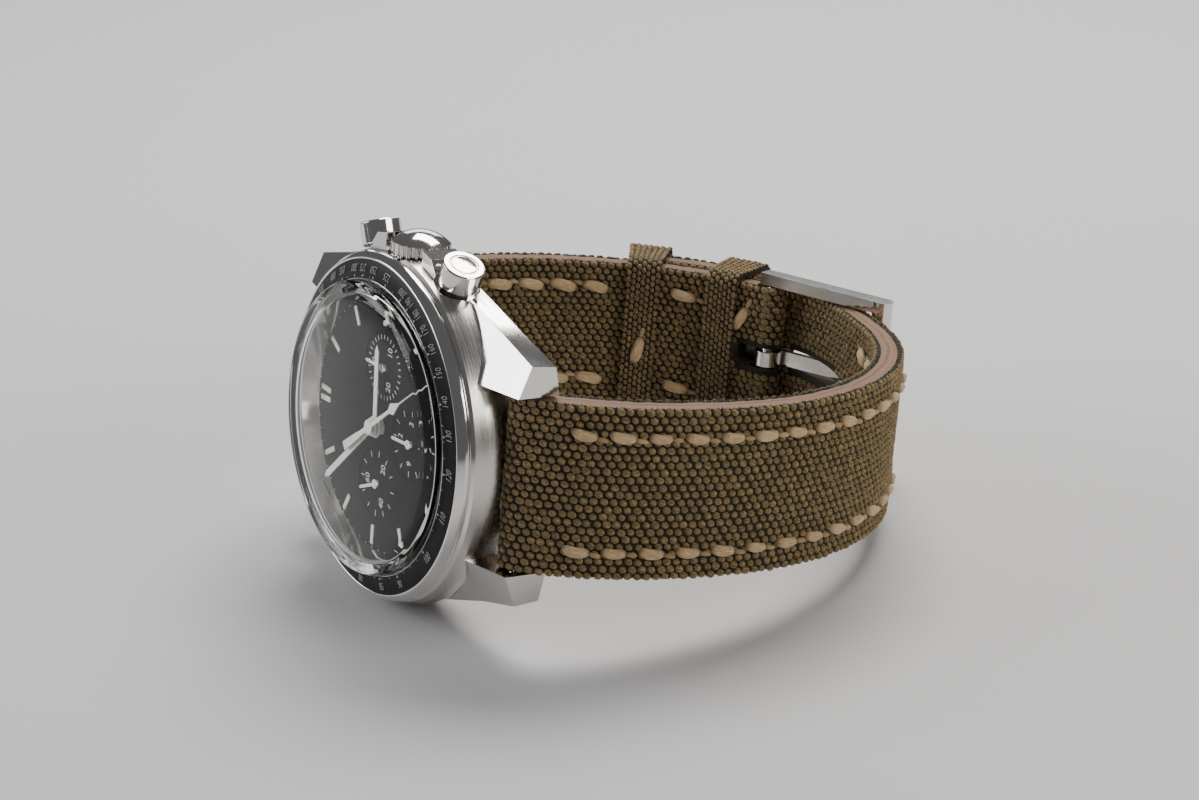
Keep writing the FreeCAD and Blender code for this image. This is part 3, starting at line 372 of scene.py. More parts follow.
def polished_steel():
    """Mirror polish with faint hairlines and a little colour drift."""
    settings = bpy.context.scene.watch_case
    material, tree, shader = new_material("polished steel", Metallic=1.0, Specular_IOR_Level=0.5)
    place = watch_place(tree)
    drift = noise(tree, place, 260.0)
    hairs = noise(tree, vector_maths(tree, "MULTIPLY", place, (1.0, 9.0, 1.0)), 5200.0, 2.0)
    tree.links.new(mixed(tree, drift, rgba(settings.steel_colour), rgba(settings.steel_colour, 0.86)),
                   shader.inputs["Base Color"])
    gloss(tree, shader, hairs, 0.35, 0.75, 0.06, 0.15)
    bump(tree, shader, drift, 12e-6, 0.3)
    return material


def satin_steel():
    """Fine brushing round the dial's axis."""
    settings = bpy.context.scene.watch_case
    material, tree, shader = new_material("satin steel", Metallic=1.0, Specular_IOR_Level=0.5)
    parts = split(tree, watch_place(tree))
    reach = maths(tree, "SQRT", maths(tree, "ADD", maths(tree, "MULTIPLY", parts[1], parts[1]),
                                      maths(tree, "MULTIPLY", parts[2], parts[2])))
    swing = maths(tree, "ARCTAN2", parts[2], parts[1])
    fine = 16000.0                      # how finely the streaks are packed
    lines = combined(tree, maths(tree, "MULTIPLY", parts[0], fine), maths(tree, "MULTIPLY", reach, fine),
                     maths(tree, "MULTIPLY", swing, 3.0))
    streaks = noise(tree, lines, 1.0, 4.0, 0.65)
    tree.links.new(mixed(tree, streaks, rgba(settings.satin_colour, 0.82),
                         rgba(settings.satin_colour, 1.15)),
                   shader.inputs["Base Color"])
    gloss(tree, shader, streaks, 0.3, 0.7, 0.17, 0.36)
    bump(tree, shader, streaks, 5e-6, 0.3)
    return material


def black_insert():
    """Anodised black with a fine grain."""
    settings = bpy.context.scene.watch_case
    material, tree, shader = new_material("black insert", Specular_IOR_Level=0.14)
    grain = noise(tree, watch_place(tree), 9000.0, 2.0)
    tree.links.new(ramp(tree, grain, (0.35, settings.insert_colour),
                        (0.8, tuple(channel * 4 for channel in settings.insert_colour))),
                   shader.inputs["Base Color"])
    gloss(tree, shader, grain, 0.3, 0.7, 0.28, 0.5)
    bump(tree, shader, grain, 8e-6, 0.5)
    return material


def clear_acrylic():
    """Clear acrylic with the faintest wear on its surface."""
    material, tree, shader = new_material("clear acrylic", Transmission_Weight=1.0, IOR=1.22,
                                          Specular_IOR_Level=0.0, Base_Color=(0.985, 0.985, 0.98, 1.0))
    wear = noise(tree, watch_place(tree), 3500.0, 3.0)
    gloss(tree, shader, wear, 0.45, 0.8, 0.0, 0.035)
    return material


def painted(name, value, roughness, coat=0.0):
    """Lacquer or print, with a fine grain in its colour and gloss."""
    material, tree, shader = new_material(name, Coat_Weight=coat, Coat_Roughness=0.1)
    grain = noise(tree, watch_place(tree), 2500.0, 3.0)
    spread = 0.12                       # how far the colour strays either way
    tree.links.new(mixed(tree, grain, rgba(value, 1 - spread), rgba(value, 1 + spread)),
                   shader.inputs["Base Color"])
    gloss(tree, shader, grain, 0.3, 0.7, roughness - 0.08, roughness + 0.08)
    bump(tree, shader, grain, 6e-6, 0.4)
    return material


def dial_lacquer():
    """Matt black, with a finely ringed finish inside each small counter."""
    settings = bpy.context.scene.watch_dial
    material, tree, shader = new_material("dial lacquer", Specular_IOR_Level=0.05)
    place = watch_place(tree)
    grain = noise(tree, place, 7000.0, 2.0)
    rings = None
    for across, up in COUNTERS.values():
        offset = vector_maths(tree, "SUBTRACT", place, (0.0, across * MM, up * MM))
        flat = vector_maths(tree, "MULTIPLY", offset, (0.0, 1.0, 1.0))
        reach = add(tree, "ShaderNodeVectorMath", {0: flat}, operation="LENGTH").outputs["Value"]
        inside = maths(tree, "LESS_THAN", reach, (COUNTER_EDGE + 0.02) * MM)
        groove = maths(tree, "MULTIPLY", maths(tree, "SINE", maths(tree, "MULTIPLY", reach, 60000.0)), inside)
        rings = groove if rings is None else maths(tree, "ADD", rings, groove)
    height = maths(tree, "ADD", maths(tree, "MULTIPLY", rings, 0.5), grain)
    tree.links.new(mixed(tree, grain, rgba(settings.dial_colour, 0.7), rgba(settings.dial_colour, 1.6)),
                   shader.inputs["Base Color"])
    shader.inputs["Roughness"].default_value = 0.75
    bump(tree, shader, height, 5e-6, 0.35)
    return material


def woven_canvas():
    """Yarn crossings with twisted fibres, each with a painted highlight on its crown and painted shade
    towards its foot and in the gaps.
    """
    settings = bpy.context.scene.watch_strap
    material, tree, shader = new_material("woven canvas", Sheen_Weight=0.25, Sheen_Roughness=0.5,
                                          Sheen_Tint=(0.9, 0.8, 0.6, 1.0), Specular_IOR_Level=0.25)
    local = attribute(tree, "yarn", "Vector")
    tint = attribute(tree, "tint")
    height = split(tree, local)[2]
    place = object_place(tree)
    fibres = noise(tree, add(tree, "ShaderNodeMapping", {
        "Vector": vector_maths(tree, "ADD", local, vector_maths(tree, "SCALE", (7.0, 5.0, 3.0), tint)),
        "Rotation": (0.0, 0.0, math.radians(28)), "Scale": (1.3, 8.0, 4.0)}).outputs[0], 1.2, 3.0, 0.6)
    patches = noise(tree, place, 330.0, 2.0)
    # painted light and shade by each crossing's height: dark at its foot, full colour on its crown
    crown = stretched(tree, height, -0.06, 0.26)
    shade = ramp(tree, crown, (0.0, settings.gap_colour), (1.0, settings.canvas_colour),
                 (0.6, tuple(channel * 0.4 for channel in settings.canvas_colour)))
    strands = stretched(tree, fibres, 0.44, 0.58)
    # painted highlight: the fibres on each crown made much paler
    lit = mixed(tree, maths(tree, "MULTIPLY", strands, crown), shade, rgba(settings.canvas_colour, 3.2))
    worn = mixed(tree, maths(tree, "MULTIPLY", tint, 0.55), lit, mixed(tree, 1.0, lit, rgba((1.7, 1.6, 1.45)),
                                                                     "MULTIPLY"))
    dusty = mixed(tree, maths(tree, "MULTIPLY", patches, 0.35), worn, rgba((0.070, 0.056, 0.030)))
    tree.links.new(dusty, shader.inputs["Base Color"])
    gloss(tree, shader, fibres, 0.0, 1.0, 0.62, 0.92)
    bump(tree, shader, fibres, 110e-6, 1.0)
    return material


def canvas_ground():
    """A dark sheet deep under the crossings: painted shade for the gaps between them, with a fine grain."""
    settings = bpy.context.scene.watch_strap
    material, tree, shader = new_material("canvas ground", Sheen_Weight=0.1)
    place = object_place(tree)
    grain = noise(tree, place, 3200.0, 3.0)
    tree.links.new(mixed(tree, grain, rgba(settings.gap_colour), rgba(settings.canvas_colour, 0.25)),
                   shader.inputs["Base Color"])
    shader.inputs["Roughness"].default_value = 0.95
    bump(tree, shader, grain, 120e-6, 0.9)
    return material


def burnished_leather():
    """A cut and burnished leather edge: tan, with darker laminations along the strap."""
    settings = bpy.context.scene.watch_strap
    material, tree, shader = new_material("burnished leather", Sheen_Weight=0.05)
    layers = attribute(tree, "depth")
    place = object_place(tree)
    fibres = noise(tree, place, 1500.0, 4.0, 0.65)
    wide = noise(tree, place, 170.0, 2.0)
    level = maths(tree, "ADD", layers, maths(tree, "MULTIPLY", maths(tree, "SUBTRACT", wide, 0.5), 0.5))
    bands = ramp(tree, level, (0.0, (0.10, 0.075, 0.055)), (0.26, settings.leather_colour),
                 (0.48, (0.055, 0.026, 0.013)), (0.58, settings.leather_colour),
                 (0.86, (0.20, 0.10, 0.045)), (1.0, (0.12, 0.085, 0.06)))
    strands = stretched(tree, fibres, 0.40, 0.68, 0.0, 0.4)
    tree.links.new(mixed(tree, strands, bands, rgba((0.30, 0.145, 0.062))), shader.inputs["Base Color"])
    gloss(tree, shader, fibres, 0.0, 1.0, 0.5, 0.85)
    bump(tree, shader, fibres, 150e-6, 0.8)
    return material


def frayed_yarn():
    """Pale cut ends of the canvas along its edges."""
    settings = bpy.context.scene.watch_strap
    material, tree, shader = new_material("frayed yarn", Sheen_Weight=0.4, Roughness=0.9)
    tint = attribute(tree, "tint")
    tree.links.new(ramp(tree, tint, (0.0, (0.035, 0.028, 0.017)), (1.0, settings.fray_colour)),
                   shader.inputs["Base Color"])
    return material


def waxed_thread():
    """Thick two-ply thread: cream fibres, with painted shade towards its underside and towards its ends,
    where it dives into the canvas.
    """
    settings = bpy.context.scene.watch_strap
    material, tree, shader = new_material("waxed thread", Sheen_Weight=0.3, Sheen_Roughness=0.4,
                                          Subsurface_Weight=0.08, Subsurface_Scale=0.0006,
                                          Specular_IOR_Level=0.35)
    local = attribute(tree, "ply", "Vector")
    parts = split(tree, local)
    tint = attribute(tree, "tint")
    fibres = noise(tree, vector_maths(tree, "ADD", vector_maths(tree, "MULTIPLY", local, (1.6, 11.0, 11.0)),
                                      vector_maths(tree, "SCALE", (9.0, 4.0, 2.0), tint)), 1.0, 3.0, 0.6)
    fibres = stretched(tree, fibres, 0.33, 0.66)
    # painted shade: darker towards each end, where the thread dives into the canvas, and on the knot between
    # stitches
    ends = stretched(tree, maths(tree, "ABSOLUTE", parts[0]), 0.34, 0.52)
    # painted shade: darker towards the thread's underside, by its height
    height_shade = stretched(tree, parts[2], -0.1, 0.32)
    body = mixed(tree, fibres, rgba(settings.thread_colour, 0.45), rgba(settings.thread_colour, 1.2))
    low = mixed(tree, height_shade, rgba((0.20, 0.125, 0.055)), body)
    dark = mixed(tree, ends, low, rgba((0.30, 0.19, 0.085)))
    tree.links.new(mixed(tree, maths(tree, "MULTIPLY", tint, 0.4), dark, rgba((0.72, 0.55, 0.32))),
                   shader.inputs["Base Color"])
    gloss(tree, shader, fibres, 0.0, 1.0, 0.45, 0.75)
    bump(tree, shader, fibres, 90e-6, 0.9)
    return material


MATERIALS = {}


def material(name):
    """The watch's materials, each made once."""
    makers = {
        "polished": polished_steel,
        "satin": satin_steel,
        "insert": black_insert,
        "acrylic": clear_acrylic,
        "dial": dial_lacquer,
        "canvas": woven_canvas,
        "ground": canvas_ground,
        "leather": burnished_leather,
        "fray": frayed_yarn,
        "thread": waxed_thread,
        "scale": lambda: painted("scale print", bpy.context.scene.watch_case.scale_colour, 0.5),
        "print": lambda: painted("dial print", bpy.context.scene.watch_dial.mark_colour, 0.5),
        "lume": lambda: painted("lume", bpy.context.scene.watch_dial.lume_colour, 0.6),
        "hand": lambda: painted("hand lacquer", bpy.context.scene.watch_dial.hand_colour, 0.3, 0.3),
        "brass": lambda: painted("gilt brass", (0.72, 0.55, 0.30), 0.3),
        "rubber": lambda: painted("seal rubber", (0.02, 0.02, 0.02), 0.7),
    }
    if name not in MATERIALS:
        MATERIALS[name] = makers[name]()
    return MATERIALS[name]


# ---- the strap's rules, as the CAD has them --------------------------------------------------------

LOOP_MIDDLE = 29.0          # middle of the buckled loop, from the dial's axis
BAR = (3.3, 22.0)           # a lug bar's place along the axis and across it
SHEET = 0.8                 # thickness of the canvas and of the lining
LOOP_RADIUS = {"long": 32.2, "short": 30.8}
BUCKLE_BAR_ANGLE = 18.0
TAIL_ANGLE = 62.0           # where the long piece's rounded tail ends
TIP_HALF = 9.15             # half the strap's width at the buckle
END_HALF = 9.9              # and at the lugs
KEEPER_RADIUS = 32.6        # the middle of a keeper's two bands
COUNTERS = {"running": (0.0, -7.0), "minute": (0.0, 7.0), "hour": (-7.0, 0.0)}
COUNTER_EDGE = 4.2


def ease(ratio):
    ratio = min(1.0, max(0.0, ratio))
    return ratio * ratio * (3 - 2 * ratio)


def bar_angle():
    return math.degrees(math.atan2(BAR[1], BAR[0] - LOOP_MIDDLE))


def bar_radius():
    return math.hypot(BAR[1], LOOP_MIDDLE - BAR[0])


def long_middle(turn):
    near = LOOP_RADIUS["long"]
    near += (bar_radius() - near) * ease((-100 - turn) / (bar_angle() - 100))
    return near + 2.2 * ease((turn + 14) / 30)


def short_middle(turn):
    near = LOOP_RADIUS["short"]
    return near + (bar_radius() - near) * ease((turn - 66) / (bar_angle() - 66))


def thickness(turn):
    return 3.4 + 0.8 * ease((abs(turn) - 60) / (bar_angle() - 60))


def half_width(turn, side):
    reach = 150.0 if side < 0 else 79.0
    share = (bar_angle() - side * turn) / reach
    return END_HALF + (TIP_HALF - END_HALF) * min(1.0, share)


class Station:
    """One place along a sheet: its point and outward normal in the loop's plane, and its half widths."""

    def __init__(self, point, normal, half, outline=None, slot=0.0):
        self.point = Vector(point)
        self.normal = Vector(normal).normalized()
        self.half = half
        self.outline = half if outline is None else outline
        self.slot = slot


def on_loop(radius, turn):
    turn = math.radians(turn)
    return Vector((LOOP_MIDDLE + radius * math.cos(turn), radius * math.sin(turn), 0.0))


def outward(turn):
    turn = math.radians(turn)
    return Vector((math.cos(turn), math.sin(turn), 0.0))


def tail_outline(turn, half):
    """Half the width of the long piece where its tail is rounded."""
    ahead = math.radians(TAIL_ANGLE - turn) * long_middle(turn)
    reach = 0.9 * half
    if ahead >= reach:
        return half
    share = 1 - max(0.0, ahead) / reach
    return half * math.sqrt(max(0.0, 1 - share * share))


# openings through the strap for the tang: (centre angle, half length in mm, half width in mm)
LONG_OPENINGS = [(5.0, 7.7, 1.32), (24.0, 1.5, 1.2), (36.0, 1.5, 1.2), (48.0, 1.5, 1.2)]
SHORT_OPENINGS = [(19.0, 4.5, 1.4)]


def opening_at(turn, radius, openings):
    """Half the width of the opening that a place on the strap meets, or nothing."""
    for centre, half_long, half_wide in openings:
        along = abs(math.radians(turn - centre) * radius) / (half_long + 0.35)
        if along < 1:
            return half_wide * math.sqrt(1 - along ** 4)
    return 0.0


def strap_face(side, face, first, last, lift=0.0):
    """Stations along one face of a strap piece; face is 1 on the canvas and -1 on the lining."""
    middle = long_middle if side < 0 else short_middle
    openings = LONG_OPENINGS if side < 0 else SHORT_OPENINGS
    count = max(2, round(abs(last - first)))      # a station every degree
    stations = []
    for number in range(count + 1):
        turn = first + (last - first) * number / count
        radius = middle(turn) + face * (thickness(turn) / 2) + lift
        half = half_width(turn, side)
        outline = tail_outline(turn, half) if side < 0 else half
        stations.append(Station(on_loop(radius, turn), outward(turn) * face, half, outline,
                                opening_at(turn, radius, openings)))
    return stations


def roll_round(centre, radius, half, first, last, slot=0.0):
    """Stations round a bar, with normals from one direction to another."""
    step = 9.0                          # degrees from station to station
    count = max(2, round(abs(last - first) / step))
    stations = []
    for number in range(count + 1):
        turn = first + (last - first) * number / count
        stations.append(Station(Vector(centre) + outward(turn) * radius, outward(turn), half, half, slot))
    return stations


def slab(name, stations, depth, inset):
    """A closed sheet under a line of stations, with rounded long edges."""
    bm = bmesh.new()
    corner = min(0.35, depth * 0.45)
    belly = 0.04                        # how far the middle of an edge stands out
    rings = []
    for station in stations:
        half = max(0.05, station.outline - inset)
        edge = [(half - corner, 0.0), (half - 0.1 * corner, 0.3 * corner), (half, corner),
                (half + belly, depth / 2), (half, depth - corner),
                (half - 0.1 * corner, depth - 0.3 * corner), (half - corner, depth)]
        section = edge + [(-across, down) for across, down in reversed(edge)]
        rings.append([bm.verts.new((station.point - station.normal * down + Vector((0, 0, across))) * MM)
                      for across, down in section])
    skin(bm, rings, capped=True)
    return mesh_from(bm, name)


def cut_openings(mesh, side, openings):
    """Cut the tang's openings right through a strap mesh that is still in the watch's frame."""
    middle = long_middle if side < 0 else short_middle
    corners = 20
    reach = 4.0                         # past both faces of the strap
    bm = bmesh.new()
    for centre, half_long, half_wide in openings:
        base = []
        for number in range(corners):
            swing = 2 * math.pi * number / corners
            squarish = 1 / (abs(math.cos(swing)) ** 4 + abs(math.sin(swing)) ** 4) ** 0.25
            base.append((half_long * squarish * math.cos(swing), half_wide * squarish * math.sin(swing)))
        out = outward(centre)
        along = Vector((-out.y, out.x, 0))
        foot = on_loop(middle(centre), centre)
        ends = []
        for lift in (-reach, reach):
            ends.append([bm.verts.new((foot + out * lift + along * a + Vector((0, 0, b))) * MM)
                         for a, b in base])
        skin(bm, ends, capped=True)
    cutter = placed("cutter", mesh_from(bm, "cutter"))
    target = placed("target", mesh)
    boolean = target.modifiers.new("openings", "BOOLEAN")
    boolean.object = cutter
    boolean.solver = "EXACT"
    result = plain_mesh(target)
    for piece in (cutter, target):
        bpy.data.objects.remove(piece)
    return result


def plain_mesh(piece):
    """The evaluated object as a plain mesh."""
    graph = bpy.context.evaluated_depsgraph_get()
    return bpy.data.meshes.new_from_object(piece.evaluated_get(graph), preserve_all_data_layers=True,
                                           depsgraph=graph)


def path_object(stations, lift=0.0, across=0.0):
    """A line of points through stations, with their widths and normals as attributes."""
    mesh = bpy.data.meshes.new("path")
    points = [(item.point + item.normal * lift + Vector((0, 0, across))) * MM for item in stations]
    mesh.from_pydata(points, [(number, number + 1) for number in range(len(points) - 1)], [])
    for name, read in (("half", lambda item: item.half * MM), ("outline", lambda item: item.outline * MM),
                       ("slot", lambda item: item.slot * MM)):
        layer = mesh.attributes.new(name, "FLOAT", "POINT")
        for number, item in enumerate(stations):
            layer.data[number].value = read(item)
    layer = mesh.attributes.new("facing", "FLOAT_VECTOR", "POINT")
    for number, item in enumerate(stations):
        layer.data[number].vector = item.normal
    piece = placed("path", mesh)
    return piece


# ---- geometry nodes --------------------------------------------------------------------------------

def new_tree(name, *inputs):
    """A geometry tree with named inputs (name, kind); hands back its input sockets by name."""
    tree = bpy.data.node_groups.new(name, "GeometryNodeTree")
    tree.interface.new_socket("Geometry", in_out="INPUT", socket_type="NodeSocketGeometry")
    for label, kind in inputs:
        tree.interface.new_socket(label, in_out="INPUT", socket_type="NodeSocket" + kind)
    tree.interface.new_socket("Geometry", in_out="OUTPUT", socket_type="NodeSocketGeometry")
    start = tree.nodes.new("NodeGroupInput")
    return tree, {socket.name: socket for socket in start.outputs}


def named(tree, name, kind="FLOAT"):
    return add(tree, "GeometryNodeInputNamedAttribute", {"Name": name}, data_type=kind).outputs[0]


def chance(tree, low, high, seed, shift=0):
    """A random number for each point, steady from run to run."""
    return add(tree, "FunctionNodeRandomValue", {2: low, 3: high, "ID": add(
        tree, "GeometryNodeInputIndex").outputs[0], "Seed": maths(tree, "ADD", seed, shift)},
        data_type="FLOAT").outputs[1]


def facing(tree, tangent, normal):
    """A turn that takes X along a tangent and Z along a normal."""
    return add(tree, "FunctionNodeAxesToRotation", {0: tangent, 1: normal}, primary_axis="X",
               secondary_axis="Z").outputs[0]


def leaning(tree, turn, lean):
    """A turn with a lean about its own Z before it."""
    spin = add(tree, "FunctionNodeEulerToRotation", {0: combined(tree, z=lean)}).outputs[0]
    return add(tree, "FunctionNodeRotateRotation", {0: turn, 1: spin}, rotation_space="LOCAL").outputs[0]


def whole(tree, value):
    return add(tree, "FunctionNodeFloatToInt", {0: value}, rounding_mode="ROUND").outputs[0]


def with_place(tree, geometry, name):
    """Geometry that keeps each point's first place as a named attribute."""
    return add(tree, "GeometryNodeStoreNamedAttribute", {
        "Geometry": geometry, "Name": name, "Value": add(tree, "GeometryNodeInputPosition").outputs[0]},
        data_type="FLOAT_VECTOR", domain="POINT").outputs[0]


def end_tree(tree, instances, socket):
    """Store each instance's tint, make real geometry of them and give it its material."""
    toned = add(tree, "GeometryNodeStoreNamedAttribute", {
        "Geometry": instances, "Name": "tint", "Value": chance(tree, 0.0, 1.0, socket["Seed"], 9)},
        data_type="FLOAT", domain="INSTANCE").outputs[0]
    real = add(tree, "GeometryNodeRealizeInstances", {"Geometry": toned}).outputs[0]
    done = add(tree, "GeometryNodeSetMaterial", {"Geometry": real, "Material": socket["Material"]})
    finish = tree.nodes.new("NodeGroupOutput")
    tree.links.new(done.outputs[0], finish.inputs[0])
    return tree


def weave_tree():
    """Rows of yarn crossings over a sheet, each row half a pitch off from its neighbours."""
    tree, socket = new_tree(
        "weave", ("Pitch", "Float"), ("Rows", "Int"), ("Bead Length", "Float"), ("Bead Width", "Float"),
        ("Bead Height", "Float"), ("Slant", "Float"), ("Margin", "Float"), ("Outward", "Float"),
        ("Seed", "Int"), ("Material", "Material"))
    curve = add(tree, "GeometryNodeMeshToCurve", {0: socket["Geometry"]}).outputs[0]
    run = add(tree, "GeometryNodeCurveLength", {0: curve}).outputs[0]
    count = whole(tree, maths(tree, "DIVIDE", run, socket["Pitch"]))
    grid = add(tree, "GeometryNodeMeshGrid", {
        "Size X": 1.0, "Size Y": 2.0, "Vertices X": count, "Vertices Y": socket["Rows"]}).outputs[0]
    grid = with_place(tree, grid, "cell")
    parts = split(tree, named(tree, "cell", "FLOAT_VECTOR"))
    steps = maths(tree, "SUBTRACT", socket["Rows"], 1.0)
    row = maths(tree, "ROUND", maths(tree, "MULTIPLY", maths(tree, "ADD", parts[1], 1.0),
                                     maths(tree, "MULTIPLY", steps, 0.5)))
    odd = maths(tree, "MODULO", row, 2.0)
    shift = maths(tree, "DIVIDE", maths(tree, "SUBTRACT", maths(tree, "MULTIPLY", odd, 0.5), 0.25), count)
    drift = maths(tree, "DIVIDE", chance(tree, -0.07, 0.07, socket["Seed"]), count)
    factor = maths(tree, "ADD", maths(tree, "ADD", maths(tree, "ADD", parts[0], 0.5), shift), drift)
    sampled = {}
    for name in ("half", "outline", "slot"):
        sampled[name] = add(tree, "GeometryNodeSampleCurve", {
            "Curves": curve, "Value": named(tree, name), "Factor": factor}, mode="FACTOR").outputs
    across = maths(tree, "MULTIPLY", parts[1], maths(tree, "SUBTRACT", sampled["half"][0], socket["Margin"]))
    wander = maths(tree, "MULTIPLY", chance(tree, -0.05, 0.05, socket["Seed"], 3), socket["Pitch"])
    height = maths(tree, "ADD", across, wander)
    up = combined(tree, z=height)
    tangent = sampled["half"][2]
    normal = vector_maths(tree, "SCALE", vector_maths(tree, "CROSS_PRODUCT", tangent, (0.0, 0.0, 1.0)),
                          socket["Outward"])
    place = vector_maths(tree, "ADD", sampled["half"][1], up)
    points = add(tree, "GeometryNodeSetPosition", {"Geometry": grid, "Position": place}).outputs[0]
    reach = maths(tree, "ABSOLUTE", across)
    inside = maths(tree, "LESS_THAN", reach, sampled["outline"][0])
    clear = maths(tree, "GREATER_THAN", reach, maths(tree, "ADD", sampled["slot"][0], 0.42 * MM))
    shown = maths(tree, "MULTIPLY", inside, maths(tree, "MAXIMUM", clear, maths(
        tree, "LESS_THAN", sampled["slot"][0], 1e-6)))
    lean = maths(tree, "ADD", socket["Slant"], chance(tree, -0.16, 0.16, socket["Seed"], 5))
    slanted = leaning(tree, facing(tree, tangent, normal), lean)
    swell = chance(tree, 0.9, 1.12, socket["Seed"], 7)
    scale = vector_maths(tree, "SCALE", combined(
        tree, socket["Bead Length"], socket["Bead Width"], socket["Bead Height"]), swell)
    bead = add(tree, "GeometryNodeMeshUVSphere", {"Segments": 8, "Rings": 5, "Radius": 0.5}).outputs[0]
    bead = with_place(tree, bead, "yarn")
    beads = add(tree, "GeometryNodeInstanceOnPoints", {
        "Points": points, "Selection": shown, "Instance": bead, "Rotation": slanted, "Scale": scale})
    return end_tree(tree, beads.outputs[0], socket)


def row_tree():
    """Copies of a template object, evenly spaced along a path and turned to face outwards."""
    tree, socket = new_tree("row", ("Pitch", "Float"), ("Template", "Object"), ("Wander", "Float"),
                            ("Swell", "Float"), ("Seed", "Int"), ("Material", "Material"))
    curve = add(tree, "GeometryNodeMeshToCurve", {0: socket["Geometry"]}).outputs[0]
    run = add(tree, "GeometryNodeCurveLength", {0: curve}).outputs[0]
    count = whole(tree, maths(tree, "ADD", maths(tree, "DIVIDE", run, socket["Pitch"]), 1.0))
    dots = add(tree, "GeometryNodeResampleCurve", {"Curve": curve, "Count": count}, mode="COUNT").outputs[0]
    tangent = add(tree, "GeometryNodeInputTangent").outputs[0]
    turn = facing(tree, tangent, named(tree, "facing", "FLOAT_VECTOR"))
    lean = maths(tree, "MULTIPLY", chance(tree, -1.0, 1.0, socket["Seed"]), socket["Wander"])
    size = maths(tree, "ADD", 1.0, maths(tree, "MULTIPLY", chance(tree, -1.0, 1.0, socket["Seed"], 4),
                                         socket["Swell"]))
    template = add(tree, "GeometryNodeObjectInfo", {"Object": socket["Template"]}).outputs["Geometry"]
    copies = add(tree, "GeometryNodeInstanceOnPoints", {
        "Points": dots, "Instance": template, "Rotation": leaning(tree, turn, lean),
        "Scale": combined(tree, size, size, size)})
    return end_tree(tree, copies.outputs[0], socket)


def marks_tree():
    """Thin bars on a circle, each pointing to its middle."""
    tree, socket = new_tree("marks", ("Count", "Int"), ("Radius", "Float"), ("Length", "Float"),
                            ("Width", "Float"), ("Height", "Float"), ("Seed", "Int"),
                            ("Material", "Material"))
    circle = add(tree, "GeometryNodeMeshCircle", {"Vertices": socket["Count"],
                                                  "Radius": socket["Radius"]}).outputs[0]
    place = add(tree, "GeometryNodeInputPosition").outputs[0]
    turn = facing(tree, vector_maths(tree, "NORMALIZE", place), (0.0, 0.0, 1.0))
    bar = add(tree, "GeometryNodeMeshCube", {
        0: combined(tree, socket["Length"], socket["Width"], socket["Height"])}).outputs[0]
    bars = add(tree, "GeometryNodeInstanceOnPoints", {"Points": circle, "Instance": bar, "Rotation": turn})
    return end_tree(tree, bars.outputs[0], socket)


TREES = {}


def grow(base, kind, **values):
    """Run a tree on an object and hand back the plain mesh; the object is used up."""
    makers = {"weave": weave_tree, "row": row_tree, "marks": marks_tree}
    if kind not in TREES:
        TREES[kind] = makers[kind]()
    tree = TREES[kind]
    modifier = base.modifiers.new(kind, "NODES")
    modifier.node_group = tree
    for item in tree.interface.items_tree:
        label = item.name.replace(" ", "_").lower()
        if item.item_type == "SOCKET" and item.in_out == "INPUT" and label in values:
            modifier[item.identifier] = values[label]
    mesh = plain_mesh(base)
    bpy.data.objects.remove(base)
    return mesh


def joined(name, meshes):
    """Several meshes as one, each keeping its material."""
    pieces = []
    for mesh in meshes:
        pieces.append(placed(name, mesh))
    with bpy.context.temp_override(active_object=pieces[0], selected_editable_objects=pieces,
                                   selected_objects=pieces):
        bpy.ops.object.join()
    mesh = pieces[0].data
    bpy.data.objects.remove(pieces[0])
    return mesh


# ---- dial and bezel --------------------------------------------------------------------------------

def clock_matrix(turn, radius, front, lean=0.0, flip=False, upright=False):
    """Where a flat mark lies: turned clockwise from 12 o'clock, its top outwards unless flipped."""
    swing = math.radians(turn)
    out = Vector((0, math.cos(swing), math.sin(swing)))
    right = Vector((0, -math.sin(swing), math.cos(swing)))
    toward = Vector((-1, 0, 0))
    place = Vector((front * MM, out.y * radius * MM, out.z * radius * MM))
    if upright:
        out, right = Vector((0, 1, 0)), Vector((0, 0, 1))
    if flip:
        out, right = -out, -right
    tilt = Matrix.Rotation(math.radians(lean), 3, right)
    out = tilt @ out
    toward = right.cross(out)
    matrix = Matrix((right, out, toward)).transposed().to_4x4()
    matrix.translation = place
    return matrix


def digits(text, height, place, shear=0.0, narrow=1.0, thick=0.02, thin=0.0):
    """Numerals as a thin raised mesh."""
    curve = bpy.data.curves.new("digits", "FONT")
    curve.body = text
    curve.size = height * MM / 0.7
    curve.shear = shear
    curve.align_x = "CENTER"
    curve.align_y = "CENTER"
    curve.extrude = thick * MM
    curve.offset = thin * MM
    curve.resolution_u = 3
    piece = placed("digits", curve)
    mesh = plain_mesh(piece)
    bpy.data.objects.remove(piece)
    mesh.transform(place @ Matrix.Diagonal((narrow, 1.0, 1.0, 1.0)))
    return mesh


def bar_mark(place, wide, tall, thick, taper=1.0):
    """A small raised bar, its top edge narrower than its foot by a taper."""
    bm = bmesh.new()
    outline = [(-wide / 2, -tall / 2), (wide / 2, -tall / 2), (wide * taper / 2, tall / 2),
               (-wide * taper / 2, tall / 2)]
    low = [bm.verts.new((x * MM, y * MM, 0.0)) for x, y in outline]
    face = bm.faces.new(low)
    raised = bmesh.ops.extrude_face_region(bm, geom=[face])
    tops = [item for item in raised["geom"] if isinstance(item, bmesh.types.BMVert)]
    bmesh.ops.translate(bm, vec=(0, 0, thick * MM), verts=tops)
    bmesh.ops.recalc_face_normals(bm, faces=bm.faces)
    bmesh.ops.bevel(bm, geom=bm.edges[:], offset=min(wide, tall, thick) * 0.18 * MM, segments=1,
                    affect="EDGES")
    bmesh.ops.transform(bm, matrix=place, verts=bm.verts)
    return mesh_from(bm, "mark")


